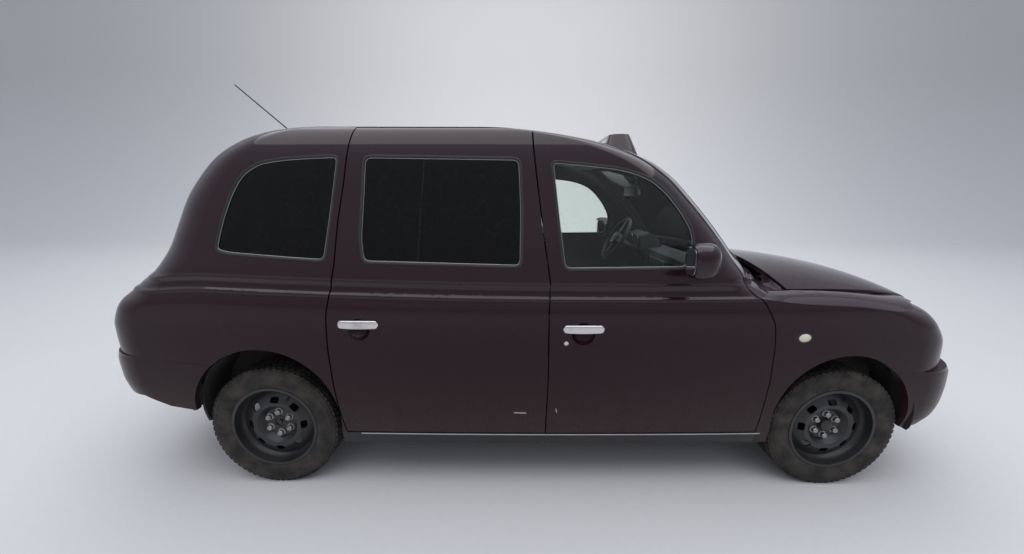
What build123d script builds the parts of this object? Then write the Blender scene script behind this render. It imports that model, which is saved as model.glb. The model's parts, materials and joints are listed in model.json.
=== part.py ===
from build123d import *
import math
import os
from collections import namedtuple

# A four-door taxi cab, in millimetres: +X to the front, +Y to the left, +Z up, wheels on Z = 0.
# The origin lies on the ground in the middle of the overall length.

# Overall sizes
overall_length = 4580
wheelbase = 2886
front_overhang = 778
rear_overhang = overall_length - wheelbase - front_overhang
front_axle_x = overall_length / 2 - front_overhang
rear_axle_x = front_axle_x - wheelbase
mid_x = (front_axle_x + rear_axle_x) / 2
track = 1488

# Gaps between panels, and walls
shut_gap = 7
seat_gap = 0.3
door_room = 10
lower_wall = 58
upper_wall = 42
glass_inset = 10
glass_thickness = 5
bonnet_wall = 25
bumper_wall = 30
bumper_ledge = 70
reach = 1200

# Heights of the body
sill_bottom = 255
door_bottom = 322
floor_bottom = 290
floor_top = 330
shoulder_z = 1035
waist_z = 1125
door_top = 1812

# Plan radii of the body: its sides, its rear and front faces, and the glasshouse's
side_radius = 45000
widest_x = -150
rear_face_radius = 3200
nose_radius = 2400
screen_radius = 1400
backlight_radius = 3200
bumper_radius = 2000
rear_bumper_radius = 3200
lamp_inset = 2
grille_frame = 18
grille_bars = 13
grille_pitch = 38

# Body sections from the sill up. rear is measured from the rear axle, front from the front axle,
# and lean is how far the skin's normal there points upwards, in degrees.
Section = namedtuple("Section", "z half_width rear front rear_corner front_corner lean")

lower_sections = [
    Section(sill_bottom, 846, -825, 640, 260, 300, 0),
    Section(400, 872, -845, 680, 270, 305, 0),
    Section(600, 886, -870, 700, 265, 300, 0),
    Section(780, 890, -895, 690, 262, 292, 0),
    Section(860, 890, -897, 650, 262, 288, 0),
    Section(930, 888, -880, 580, 264, 288, 0),
    Section(985, 884, -846, 465, 266, 290, 0),
    Section(shoulder_z, 873, -785, 320, 270, 290, 0),
]

waist_sections = [
    Section(shoulder_z, 873, -785, -150, 270, 190, 0),
    Section(1080, 863, -738, -215, 270, 185, 0),
    Section(waist_z, 857, -672, -288, 270, 180, 0),
]

upper_sections = [
    Section(waist_z, 857, -672, -288, 270, 180, 0),
    Section(1240, 838, -581, -393, 265, 180, 5),
    Section(1360, 819, -523, -493, 255, 180, 8),
    Section(1500, 797, -457, -623, 250, 180, 10),
    Section(1600, 783, -384, -728, 250, 180, 15),
    Section(1680, 770, -310, -853, 250, 185, 22),
    Section(1740, 753, -223, -1013, 250, 190, 32),
    Section(1785, 730, -125, -1213, 250, 200, 48),
    Section(1818, 690, 28, -1463, 240, 220, 66),
    Section(1834, 605, 290, -1800, 220, 210, 85),
]

# Bonnet stations: x from the front axle, half width, height of its edge and of its middle
BonnetRow = namedtuple("BonnetRow", "x half_width edge crown")
bonnet_rows = [
    BonnetRow(-250, 690, 1040, 1150),
    BonnetRow(0, 662, 1034, 1128),
    BonnetRow(250, 615, 1018, 1090),
    BonnetRow(450, 560, 985, 1043),
    BonnetRow(555, 510, 945, 1000),
    BonnetRow(618, 465, 890, 945),
    BonnetRow(652, 430, 815, 875),
]

# Wing top stations: x from the middle of the wheelbase, and the height of its arc outside, at its
# crown and at the bonnet's edge
WingRow = namedtuple("WingRow", "x outer crown inner")
wing_rows = [
    WingRow(900, 1045, 1048, 1048),
    WingRow(960, 1030, 1038, 1038),
    WingRow(1080, 995, 1037, 1036),
    WingRow(1193, 972, 1034, 1033),
    WingRow(1443, 948, 1022, 1025),
    WingRow(1693, 912, 986, 1003),
    WingRow(1820, 885, 956, 985),
    WingRow(1893, 850, 922, 962),
    WingRow(1960, 795, 876, 935),
    WingRow(2010, 730, 828, 905),
    WingRow(2110, 620, 734, 825),
]
wing_outer_y = 905
wing_crown_y = 785
bonnet_edge_y = 670

# Bumper sections, with the same columns
front_bumper_sections = [
    Section(344, 866, -900, 712, 300, 290, 0),
    Section(400, 880, -900, 752, 300, 290, 0),
    Section(477, 888, -900, 772, 300, 290, 0),
    Section(560, 890, -900, front_overhang, 300, 290, 0),
    Section(630, 890, -900, 775, 300, 290, 0),
    Section(657, 888, -900, 760, 300, 290, 0),
]
rear_bumper_sections = [
    Section(420, 866, -840, 700, 270, 350, 0),
    Section(500, 880, -886, 700, 270, 350, 0),
    Section(600, 889, -912, 700, 265, 350, 0),
    Section(690, 890, -rear_overhang, 700, 262, 350, 0),
    Section(730, 889, -906, 700, 262, 350, 0),
]

# Wheel arches: a round top over straight sides
arch_centre_z = 402
rear_arch_radius = 372
rear_arch_side = 366
front_arch_radius = 347
front_arch_side = 338
liner_radius = 380
liner_wall = 8
liner_inner_y = 600
wing_wall = 30

# Panel lines
roof_line_z = 1725
boot_half_width = 590
boot_bottom = 742
boot_top = 1085
boot_wall = 35
boot_hinge_x = rear_axle_x - 743
boot_hinge_z = 1066
boot_hinge_y = 400
boot_ear_width = 24
boot_ear_radius = 10
boot_pin_radius = 5
pin_clearance = 0.1
backlight_bottom = 1190
backlight_top = 1655
backlight_half = (600, 520)
screen_bottom = 1165
screen_top = 1700
screen_half = (655, 560)
nose_half_width = 400
grille_bottom = 672
grille_top = 806
grille_middle = 742
grille_half = (270, 300)
lamp_y = 575
lamp_z = 762
lamp_radius = 86
tail_lamp_y = 690
tail_lamp_half = 55
tail_lamp_z = (780, 985)

# Door mirrors
mirror_x = mid_x + 640
mirror_z = 1228
mirror_inner_y = -890
mirror_tip_y = 1018

# Floor and running gear
bulkhead_x = 1200
sill_front_x = mid_x + 1036
riser_x = -985
boot_floor = 540
sheet = 22
axle_slot = 55
shaft_gap = 5
rail_y = 400
rail_width = 60
rail_height = 85
king_pin_y = track / 2 - 25
rim_offset = 20
centre_bore = 34
ball_z = 185
ball_radius = 18
arm_radius = 16
arm_spread = 75
brake_radius = 112
engine_x = (front_axle_x - 210, front_axle_x + 400)
low_engine = 296
middle_post_line = [
    (780, floor_top), (795, 420), (806, 800), (795, 985), (780, waist_z), (750, 1360), (708, 1600),
    (655, 1700), (595, 1790),
]
front_post_line = [(762, floor_top), (785, 600), (785, 900), (770, 1000)]

# Driver's place, on the left, and what stands on the roof
wheel_y = 380
steer_x = mid_x + 592
steer_z = 1177
steer_radius = 184
steer_tilt = 59
boss_height = 46
sign_x = mid_x + 425
sign_top = 1856
bench_half = 585
aerial_x = mid_x - 1520
aerial_tip_x = mid_x - 1956
aerial_tip_z = 2174

# Wheels
tyre_radius = 325
tyre_width = 178
tyre_bore_radius = 214
tyre_shoulder = 22
rim_width = 160
rim_well_radius = 186
rim_wall = 6
hub_radius = 72
nut_circle_radius = 60
wheel_bolts = 6
vent_count = 8
vent_radius = 138
vent_size = (44, 30)
axle_z = 325


def circle_meet(centre_a, radius_a, centre_b, radius_b, toward):
    """The point where two circles meet, on the side that lies nearer to the point toward."""
    dx = centre_b[0] - centre_a[0]
    dy = centre_b[1] - centre_a[1]
    span = math.hypot(dx, dy)
    along = (radius_a**2 - radius_b**2 + span**2) / (2 * span)
    across = math.sqrt(radius_a**2 - along**2)
    foot = (centre_a[0] + along * dx / span, centre_a[1] + along * dy / span)
    choices = [
        (foot[0] - across * dy / span, foot[1] + across * dx / span),
        (foot[0] + across * dy / span, foot[1] - across * dx / span),
    ]
    return min(choices, key=lambda p: math.dist(p, toward))


def corner_arc(side_centre, side_r, face_centre, face_r, corner_r, toward):
    """Start, middle and end of the corner arc that is tangent to a side arc and a face arc."""
    centre = circle_meet(side_centre, side_r - corner_r, face_centre, face_r - corner_r, toward)
    points = []
    for origin, radius in ((side_centre, side_r), (face_centre, face_r)):
        scale = radius / (radius - corner_r)
        points.append(
            (
                origin[0] + (centre[0] - origin[0]) * scale,
                origin[1] + (centre[1] - origin[1]) * scale,
            )
        )
    mean = ((points[0][0] + points[1][0]) / 2 - centre[0], (points[0][1] + points[1][1]) / 2 - centre[1])
    size = math.hypot(*mean)
    middle = (centre[0] + mean[0] * corner_r / size, centre[1] + mean[1] * corner_r / size)
    return points[0], middle, points[1]


def contour(row, inset, rear_r, front_r):
    """The plan outline of the body at one height, of eight tangent arcs, set in by inset."""
    lean = math.radians(row.lean)
    flat = inset * math.cos(lean)
    z = row.z - inset * math.sin(lean)
    half = row.half_width - flat
    rear = rear_axle_x + row.rear + flat
    front = front_axle_x + row.front - flat
    side_r = side_radius - flat
    side_centre = (widest_x, side_r - half)
    front_centre = (front - (front_r - flat), 0)
    rear_centre = (rear + (rear_r - flat), 0)
    front_corner = corner_arc(
        side_centre, side_r, front_centre, front_r - flat, row.front_corner - flat, (front, -half)
    )
    rear_corner = corner_arc(
        side_centre, side_r, rear_centre, rear_r - flat, row.rear_corner - flat, (rear, -half)
    )

    def at(p, sign=1):
        return (p[0], sign * p[1], z)

    side_x = (front_corner[0][0] + rear_corner[0][0]) / 2
    side_mid = (side_x, side_centre[1] - math.sqrt(side_r**2 - (side_x - widest_x) ** 2))
    edges = [ThreePointArc(at(front_corner[2]), (front, 0, z), at(front_corner[2], -1))]
    edges.append(ThreePointArc(at(front_corner[2], -1), at(front_corner[1], -1), at(front_corner[0], -1)))
    edges.append(ThreePointArc(at(front_corner[0], -1), at(side_mid, -1), at(rear_corner[0], -1)))
    edges.append(ThreePointArc(at(rear_corner[0], -1), at(rear_corner[1], -1), at(rear_corner[2], -1)))
    edges.append(ThreePointArc(at(rear_corner[2], -1), (rear, 0, z), at(rear_corner[2])))
    edges.append(ThreePointArc(at(rear_corner[2]), at(rear_corner[1]), at(rear_corner[0])))
    edges.append(ThreePointArc(at(rear_corner[0]), at(side_mid), at(front_corner[0])))
    edges.append(ThreePointArc(at(front_corner[0]), at(front_corner[1]), at(front_corner[2])))
    return Wire(edges)


def skin(rows, inset, rear_r, front_r):
    """The solid inside the body's skin over one table of sections."""
    return Solid.make_loft([contour(row, inset, rear_r, front_r) for row in rows], ruled=True)


def lower_solid(inset):
    return skin(lower_sections, inset, rear_face_radius, nose_radius)


def waist_solid(inset):
    return skin(waist_sections, inset, rear_face_radius, screen_radius)


def upper_solid(inset):
    return skin(upper_sections, inset, backlight_radius, screen_radius)


def side_prism(points, y_from, y_to):
    """A prism across the car: an outline in X and Z, from one y to another."""
    outline = make_face(Polyline(*[(x, y_from, z) for x, z in points], close=True))
    return extrude(outline, amount=abs(y_to - y_from), dir=(0, math.copysign(1, y_to - y_from), 0))


def block(x_from, x_to, y_from, y_to, z_from, z_to):
    """A box given by its faces."""
    size = (abs(x_to - x_from), abs(y_to - y_from), abs(z_to - z_from))
    middle = ((x_from + x_to) / 2, (y_from + y_to) / 2, (z_from + z_to) / 2)
    return Pos(*middle) * Box(*size)


def mirrored(shape):
    """The same piece on the other side of the car."""
    return mirror(shape, about=Plane.XZ)


def save(shape, node):
    """Write one node's solids to its STEP file."""
    export_step(shape, f"parts/{node}.step")


def cylinder_x(x_from, x_to, y, z, radius):
    """A round bar along the car."""
    return Pos((x_from + x_to) / 2, y, z) * Rot(0, 90, 0) * Cylinder(radius, abs(x_to - x_from))


def cylinder_y(x, y_from, y_to, z, radius):
    """A round bar across the car."""
    return Pos(x, (y_from + y_to) / 2, z) * Rot(90, 0, 0) * Cylinder(radius, abs(y_to - y_from))


def cylinder_z(x, y, z_from, z_to, radius):
    """An upright round bar."""
    return Pos(x, y, (z_from + z_to) / 2) * Cylinder(radius, z_to - z_from)


def rod(start, end, radius):
    """A round rod between two points."""
    axis = Vector(*end) - Vector(*start)
    plane = Plane(origin=start, z_dir=axis)
    return extrude(plane * Circle(radius), amount=axis.length)


# Side outlines in X and Z. Points are measured from the middle of the wheelbase, and "lean" says
# how far a point steps forward for each millimetre further in, which keeps a door's rear edge
# clear of its opening while it swings.
SidePoint = namedtuple("SidePoint", "x z lean")
edge_lean = 0.22
skin_at = [(sill_bottom, 850), (400, 872), (800, 888), (985, 884), (shoulder_z, 873), (waist_z, 857)]
skin_at += [(1360, 819), (1600, 783), (1680, 770), (1740, 753), (1785, 730), (1818, 690)]

rear_shut = [
    SidePoint(-944, door_top, edge_lean),
    SidePoint(-990, 1571, edge_lean),
    SidePoint(-1023, 1391, edge_lean),
    SidePoint(-1047, 1185, edge_lean),
    SidePoint(-1068, 1063, edge_lean),
    SidePoint(-1090, 940, edge_lean),
    SidePoint(-1095, 781, edge_lean),
    SidePoint(-1086, 580, edge_lean),
    SidePoint(-1072, 436, edge_lean),
    SidePoint(-1052, door_bottom, edge_lean),
]
mid_shut = [
    SidePoint(-42, door_bottom, edge_lean),
    SidePoint(-35, 630, edge_lean),
    SidePoint(-34, 1108, edge_lean),
    SidePoint(-71, 1349, edge_lean),
    SidePoint(-118, door_top, edge_lean),
]
front_shut = [
    SidePoint(1033, door_bottom, 0),
    SidePoint(1051, 620, 0),
    SidePoint(1046, 815, 0),
    SidePoint(1031, 915, 0),
    SidePoint(983, 1007, 0),
    SidePoint(927, 1070, 0),
    SidePoint(884, 1155, 0),
    SidePoint(828, 1240, 0),
    SidePoint(735, 1350, 0),
    SidePoint(630, 1470, 0),
    SidePoint(520, 1580, 0),
    SidePoint(380, 1680, 0),
    SidePoint(250, 1735, 0),
    SidePoint(20, door_top, 0),
]
rear_door_line = rear_shut + mid_shut
front_door_line = mid_shut[::-1] + front_shut

quarter_glass_line = [
    (-1618, 1243), (-1600, 1321), (-1572, 1412), (-1530, 1516), (-1471, 1605), (-1390, 1655),
    (-1275, 1673), (-1138, 1682), (-1005, 1687), (-1022, 1571), (-1051, 1391), (-1084, 1194),
    (-1247, 1203), (-1549, 1225),
]
rear_glass_line = [(-900, 1685), (-172, 1676), (-160, 1439), (-163, 1172), (-917, 1190), (-929, 1300)]
front_glass_line = [
    (-42, 1666), (141, 1650), (278, 1635), (370, 1611), (439, 1580), (510, 1522),
    (577, 1441), (626, 1360), (642, 1292), (614, 1168), (24, 1160), (-2, 1349),
]


def skin_y(z):
    """Half width of the car's side at a height."""
    for (z_a, y_a), (z_b, y_b) in zip(skin_at, skin_at[1:]):
        if z <= z_b:
            return y_a + (y_b - y_a) * (z - z_a) / (z_b - z_a)
    return skin_at[-1][1]


def grow(points, amount):
    """An outline moved outwards by amount, or inwards if that is negative."""
    area = sum(a[0] * b[1] - b[0] * a[1] for a, b in zip(points, points[1:] + points[:1]))
    turn = 1 if area > 0 else -1
    moved = []
    for before, here, after in zip(points[-1:] + points[:-1], points, points[1:] + points[:1]):
        normals = []
        for a, b in ((before, here), (here, after)):
            span = math.dist(a, b)
            normals.append((turn * (b[1] - a[1]) / span, -turn * (b[0] - a[0]) / span))
        spread = 1 + normals[0][0] * normals[1][0] + normals[0][1] * normals[1][1]
        moved.append(
            (
                here[0] + amount * (normals[0][0] + normals[1][0]) / spread,
                here[1] + amount * (normals[0][1] + normals[1][1]) / spread,
            )
        )
    return moved


def door_prism(line, amount, y_out=1000, y_in=612):
    """The right-hand prism of a door's outline, grown by amount, with its leaning edges."""
    flat = grow([(p.x, p.z) for p in line], amount)
    wires = []
    for y in (y_out, y_in):
        points = [
            (mid_x + x + p.lean * (skin_y(p.z) - y), -y, z) for (x, z), p in zip(flat, line)
        ]
        wires.append(Wire(Polyline(*points, close=True)))
    return Solid.make_loft(wires, ruled=True)


def from_mid(points):
    return [(mid_x + x, z) for x, z in points]


def window_prism(points, amount):
    """A prism through the right-hand side for a window, grown by amount."""
    return side_prism(grow(from_mid(points), amount), -reach, -500)


def joined(*shapes):
    """One shape of pieces that meet."""
    whole = shapes[0]
    for shape in shapes[1:]:
        whole = whole + shape
    return whole


def arch(axle_x, radius, side, y_in):
    """The space of one right-hand wheel arch, from y_in outwards."""
    top = cylinder_y(axle_x, -reach, -y_in, arch_centre_z, radius)
    foot = block(axle_x - side, axle_x + side, -reach, -y_in, 0, arch_centre_z)
    return top + foot


def both(shape):
    """A right-hand piece and its mirror image."""
    return Compound([*shape.solids(), *mirrored(shape).solids()])


def cross_prism(bottom, top, half_bottom, half_top, x_from, x_to):
    """A prism along the car: a symmetric trapezium in Y and Z."""
    corners = [(-half_bottom, bottom), (half_bottom, bottom), (half_top, top), (-half_top, top)]
    outline = make_face(Polyline(*[(x_from, y, z) for y, z in corners], close=True))
    return extrude(outline, amount=x_to - x_from, dir=(1, 0, 0))


def door(wall, line, glass_line):
    """A right-hand door as thick as the body wall, with its window cut out."""
    panel = wall & door_prism(line, -shut_gap / 2)
    return panel - window_prism(glass_line, 0)


def pane(prism):
    """Glass that follows the skin, set in from it, inside a window's prism."""
    outer = upper_solid(glass_inset) & prism
    return outer - upper_solid(glass_inset + glass_thickness)


def with_handle(panel, x, z):
    """A door with its bowl recess and the bar that bridges it."""
    y = skin_y(z)
    bowl = Pos(x, -y - 30, z - 22) * Sphere(62)
    bar = Pos(x, -y - 12, z) * Box(190, 14, 26)
    bar = fillet(bar.edges(), 5)
    posts = [Pos(x + side * 82, -y, z) * Box(18, 34, 18) for side in (-1, 1)]
    return panel - bowl + bar + posts[0] + posts[1]


def mirror_section(x, y, length, height, radius):
    """One upright section of a door mirror's housing."""
    plane = Plane((x, y, mirror_z), x_dir=(1, 0, 0), z_dir=(0, -1, 0))
    return plane * RectangleRounded(length, height, radius)


def build_doors(wall):
    """The four doors and their glass."""
    rear = door(wall, rear_door_line, rear_glass_line)
    rear = rear - arch(rear_axle_x, rear_arch_radius, rear_arch_side, liner_inner_y)
    rear = with_handle(rear, mid_x - 938, 905)
    front = door(wall, front_door_line, front_glass_line)
    front = with_handle(front, mid_x + 125, 888)
    mirror_head = loft(
        [
            mirror_section(mirror_x + 22, mirror_inner_y, 70, 90, 20),
            mirror_section(mirror_x + 8, mirror_inner_y - 40, 112, 150, 40),
            mirror_section(mirror_x - 6, -mirror_tip_y, 88, 128, 36),
        ],
        ruled=True,
    )
    mirror_foot = block(mirror_x, mirror_x + 52, mirror_inner_y - 5, -800, mirror_z - 40, mirror_z + 8)
    front = front + mirror_head + mirror_foot
    for name, side in (("right", 1), ("left", -1)):
        for place, panel, glass_line in (("rear", rear, rear_glass_line), ("front", front, front_glass_line)):
            glass = pane(window_prism(glass_line, -seat_gap))
            save(panel if side == 1 else mirrored(panel), f"{name}_{place}_door")
            save(glass if side == 1 else mirrored(glass), f"{name}_{place}_door_glass")


def bonnet_shape(grow_side, drop, bottom):
    """The bonnet's crowned form down to a flat bottom, or a shell of it if bottom is None."""
    wires = []
    for row in bonnet_rows:
        x = front_axle_x + row.x
        half = row.half_width + grow_side
        edge, crown = row.edge - drop, row.crown - drop
        top = ThreePointArc((x, -half, edge), (x, 0, crown), (x, half, edge))
        if bottom is None:
            low_edge, low_crown = edge - bonnet_wall, crown - bonnet_wall
            under = ThreePointArc((x, half, low_edge), (x, 0, low_crown), (x, -half, low_edge))
        else:
            low_edge = bottom
            under = Line((x, half, bottom), (x, -half, bottom))
        sides = [Line((x, half, edge), (x, half, low_edge)), Line((x, -half, low_edge), (x, -half, edge))]
        wires.append(Wire([top.edge(), sides[0].edge(), under.edge(), sides[1].edge()]))
    return Solid.make_loft(wires, ruled=True)


def under_wing_tops():
    """The space under the right-hand wing's crowned top."""
    wires = []
    for row in wing_rows:
        x = mid_x + row.x
        outer, inner = (x, -wing_outer_y, row.outer), (x, -nose_half_width + 60, row.inner)
        top = ThreePointArc(outer, (x, -wing_crown_y, row.crown), (x, -bonnet_edge_y, row.inner))
        foot = [(x, -nose_half_width + 60, 0), (x, -wing_outer_y, 0)]
        corners = [(x, -bonnet_edge_y, row.inner), inner, *foot, outer]
        wires.append(Wire([top.edge(), *Polyline(*corners).edges()]))
    return Solid.make_loft(wires, ruled=True)


def build_front():
    """Wings, nose, grille, lamps and bonnet."""
    save(bonnet_shape(-shut_gap / 2, 0, None), "bonnet")
    hollow = lower_solid(wing_wall) & block(-reach * 3, reach * 3, -reach, reach, 0, shoulder_z - wing_wall)
    shell = (lower_solid(0) - hollow) & block(mid_x + 880, overall_length, -reach, reach, 0, reach)
    shell = shell - bonnet_shape(shut_gap / 2, -400, 0)
    shell = shell - block(0, front_axle_x - 250, -690, 690, shoulder_z - 200, reach)
    wing = shell & block(-reach, overall_length, -reach, -nose_half_width - seat_gap / 2, 0, reach)
    wing = wing & (under_wing_tops() + block(0, mid_x + wing_rows[1].x, -reach, 0, 0, reach))
    wing = wing - door_prism(front_door_line, shut_gap / 2)
    wing = wing - block(0, sill_front_x + seat_gap, -reach, 0, 0, door_bottom)
    wing = wing - arch(front_axle_x, front_arch_radius, front_arch_side, liner_inner_y)
    liner_outer_y = -skin_y(arch_centre_z) + wing_wall
    liner = cylinder_y(front_axle_x, liner_outer_y, -liner_inner_y, arch_centre_z, liner_radius)
    liner = liner - cylinder_y(front_axle_x, -reach, 0, arch_centre_z, liner_radius - liner_wall)
    liner = liner & block(-reach, overall_length, -reach, 0, arch_centre_z - 60, reach)
    wing = wing + (liner & lower_solid(wing_wall / 2))
    bumper_space = skin(front_bumper_sections, -seat_gap, rear_face_radius, bumper_radius)
    bumper_space = bumper_space & front_bumper_zone(seat_gap)
    wing = wing - bumper_space
    lamp_hole = cylinder_x(front_axle_x, overall_length, -lamp_y, lamp_z, lamp_radius + seat_gap)
    wing = wing - lamp_hole
    save(both(wing.solids().sort_by(SortBy.VOLUME)[-1]), "front_wings")
    nose = shell & block(front_axle_x + 300, overall_length, -nose_half_width, nose_half_width, 0, reach)
    grille_hole = cross_prism(grille_bottom, grille_top, *grille_half, front_axle_x + 300, overall_length)
    nose = (nose - grille_hole - bumper_space).solids().sort_by(SortBy.VOLUME)[-1]
    save(nose, "nose_panel")
    lamp = cylinder_x(front_axle_x + 420, overall_length, -lamp_y, lamp_z, lamp_radius)
    lamp = lower_solid(lamp_inset) & lamp
    save(both(lamp), "headlamps")
    save(build_grille(), "grille")


def build_grille():
    """The radiator grille: a frame that follows the nose, with upright bars."""
    x_from = front_axle_x + 560
    opening = cross_prism(
        grille_bottom + seat_gap, grille_top - seat_gap, grille_half[0] - seat_gap, grille_half[1] - seat_gap,
        x_from, overall_length,
    )
    inner = cross_prism(
        grille_bottom + grille_frame, grille_top - grille_frame,
        grille_half[0] - grille_frame, grille_half[1] - grille_frame, x_from, overall_length,
    )
    band = lower_solid(0) - lower_solid(wing_wall)
    frame = (band & opening) - inner
    bars = []
    for i in range(grille_bars):
        y = (i - (grille_bars - 1) / 2) * grille_pitch
        bars.append(block(x_from, overall_length, y - 4, y + 4, grille_bottom + 6, grille_top - 6))
    slats = (lower_solid(8) - lower_solid(wing_wall - 6)) & Compound(bars)
    cross = (lower_solid(12) - lower_solid(wing_wall - 10)) & block(
        x_from, overall_length, -grille_half[0] + 6, grille_half[0] - 6, grille_middle - 6, grille_middle + 6
    )
    return frame + slats.solids() + cross.solids()


def front_bumper_zone(grow_by):
    """The outline of the front bumper from the side."""
    points = [(1690, 652), (1900, 662), (2300, 662), (2300, 330), (1730, 330)]
    return side_prism(grow(from_mid(points), grow_by), -reach, reach)


def rear_bumper_zone(grow_by):
    """The outline of the rear bumper from the side."""
    points = [
        (-1650, 684), (-1870, 705), (-2057, 729), (-2450, 735), (-2450, 520), (-2060, 514), (-1940, 455),
        (-1730, 415),
    ]
    return side_prism(grow(from_mid(points), grow_by), -reach, reach)


def build_bumpers():
    """Front and rear bumpers, as shells that run from arch to arch."""
    front = skin(front_bumper_sections, 0, rear_face_radius, bumper_radius) & front_bumper_zone(0)
    hollow = skin(front_bumper_sections, bumper_wall, rear_face_radius, bumper_radius)
    front = front - (hollow & block(0, overall_length, -reach, reach, 0, 657 - bumper_wall))
    front = front - skin(front_bumper_sections, bumper_ledge, rear_face_radius, bumper_radius)
    rear = skin(rear_bumper_sections, 0, rear_bumper_radius, nose_radius) & rear_bumper_zone(0)
    hollow = skin(rear_bumper_sections, bumper_wall, rear_bumper_radius, nose_radius)
    rear = rear - (hollow & block(-overall_length, 0, -reach, reach, 0, 730 - bumper_wall))
    rear = rear - skin(rear_bumper_sections, bumper_ledge, rear_bumper_radius, nose_radius)
    for axle_x, radius, side in (
        (front_axle_x, front_arch_radius, front_arch_side), (rear_axle_x, rear_arch_radius, rear_arch_side),
    ):
        cut = arch(axle_x, radius, side, liner_inner_y)
        front = front - cut - mirrored(cut)
        rear = rear - cut - mirrored(cut)
    save(front.solids().sort_by(SortBy.VOLUME)[-1], "front_bumper")
    save(rear.solids().sort_by(SortBy.VOLUME)[-1], "rear_bumper")


def hinge_ear(y):
    """One fixed ear of the boot lid's hinge, with its pin."""
    half = boot_ear_width / 2
    ear = cylinder_y(boot_hinge_x, y - half, y + half, boot_hinge_z, boot_ear_radius)
    stem = block(
        boot_hinge_x - boot_ear_radius, boot_hinge_x + boot_ear_radius, y - half, y + half,
        boot_hinge_z, boot_top + 8,
    )
    pin = cylinder_y(boot_hinge_x, y - half - 20, y + half + 20, boot_hinge_z, boot_pin_radius)
    return ear + stem + pin


def hinge_notch(y):
    """The notch and the bore that one ear and its pin take out of the boot lid."""
    half = boot_ear_width / 2 + 5
    notch = block(
        boot_hinge_x - 60, boot_hinge_x + 60, y - half, y + half,
        boot_hinge_z - boot_ear_radius - 6, boot_top,
    )
    bore = cylinder_y(
        boot_hinge_x, y - half - 20, y + half + 20, boot_hinge_z, boot_pin_radius + pin_clearance,
    )
    return notch + bore


def build_body(wall):
    """The fixed outer panels behind the front wings."""
    openings = door_prism(rear_door_line, shut_gap / 2) + door_prism(front_door_line, shut_gap / 2)
    rest = wall - openings - mirrored(openings)
    roof = rest & block(-overall_length, overall_length, -reach, reach, roof_line_z, 2000)
    screen_cut = cross_prism(screen_bottom, screen_top, *screen_half, mid_x + 100, overall_length)
    save(roof.solids().sort_by(SortBy.VOLUME)[-1], "roof_panel")
    below = rest & block(-overall_length, overall_length, -reach, reach, 0, roof_line_z - seat_gap)
    frame = below & block(mid_x, overall_length, -reach, reach, shoulder_z + seat_gap, 2000)
    frame = frame - screen_cut
    save(frame.solids().sort_by(SortBy.VOLUME)[-1], "windscreen_frame")
    rear = below & block(-overall_length, mid_x - 900, -reach, reach, 0, 2000)
    rear = rear - block(mid_x - 1080, mid_x, -reach, reach, 0, door_bottom - shut_gap / 2 + seat_gap)
    boot_cut = block(-overall_length, rear_axle_x - 500, -boot_half_width, boot_half_width, 0, boot_top)
    backlight_cut = cross_prism(
        backlight_bottom, backlight_top, *backlight_half, -overall_length, rear_axle_x,
    )
    rear = rear - boot_cut - backlight_cut
    quarter_cut = window_prism(quarter_glass_line, 0)
    rear = rear - quarter_cut - mirrored(quarter_cut)
    cut = arch(rear_axle_x, rear_arch_radius, rear_arch_side, liner_inner_y)
    rear = rear - cut - mirrored(cut)
    band = skin(rear_bumper_sections, -seat_gap, rear_bumper_radius, nose_radius) & rear_bumper_zone(seat_gap)
    rear = rear - band
    lamp_cut = block(
        -overall_length, rear_axle_x - 600, -tail_lamp_y - tail_lamp_half,
        -tail_lamp_y + tail_lamp_half, *tail_lamp_z,
    )
    rear = rear - lamp_cut - mirrored(lamp_cut)
    middle = rear & block(-overall_length, 0, -boot_half_width, boot_half_width, 0, 2000)
    side = rear & block(-overall_length, 0, -reach, -boot_half_width - seat_gap, 0, 2000)
    save(both(side.solids().sort_by(SortBy.VOLUME)[-1]), "rear_quarters")
    middle = middle.solids().sort_by(SortBy.VOLUME)[-1]
    for side in (-1, 1):
        middle = middle + hinge_ear(side * boot_hinge_y)
    save(middle, "rear_panel")
    sill = below & block(mid_x - 1080 + seat_gap, sill_front_x, -reach, 0, 0, door_bottom - shut_gap / 2)
    sill = sill - arch(rear_axle_x, rear_arch_radius, rear_arch_side, liner_inner_y)
    save(both(sill.solids().sort_by(SortBy.VOLUME)[-1]), "sills")
    tail = (lower_solid(4) - lower_solid(lower_wall - 20)) & block(
        -overall_length, rear_axle_x - 600, -tail_lamp_y - tail_lamp_half + seat_gap,
        -tail_lamp_y + tail_lamp_half - seat_gap, tail_lamp_z[0] + seat_gap, tail_lamp_z[1] - seat_gap,
    )
    save(both(tail), "tail_lamps")
    lid_zone = block(
        -overall_length, rear_axle_x - 500, -boot_half_width + shut_gap, boot_half_width - shut_gap,
        boot_bottom, boot_top - shut_gap,
    )
    lid = (lower_solid(0) + waist_solid(0)) - (lower_solid(boot_wall) + waist_solid(boot_wall))
    lid = (lid & lid_zone).solids().sort_by(SortBy.VOLUME)[-1]
    for side in (-1, 1):
        lid = lid - hinge_notch(side * boot_hinge_y)
    save(lid, "boot_lid")
    screen = pane(cross_prism(
        screen_bottom + seat_gap, screen_top - seat_gap, screen_half[0] - seat_gap, screen_half[1] - seat_gap,
        mid_x + 100, overall_length,
    ))
    save(screen.solids().sort_by(SortBy.VOLUME)[-1], "windscreen")
    backlight = pane(cross_prism(
        backlight_bottom + seat_gap, backlight_top - seat_gap,
        backlight_half[0] - seat_gap, backlight_half[1] - seat_gap, -overall_length, rear_axle_x,
    ))
    quarter = pane(window_prism(quarter_glass_line, -seat_gap))
    save(Compound([*backlight.solids(), *both(quarter).solids()]), "rear_glass")


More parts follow.
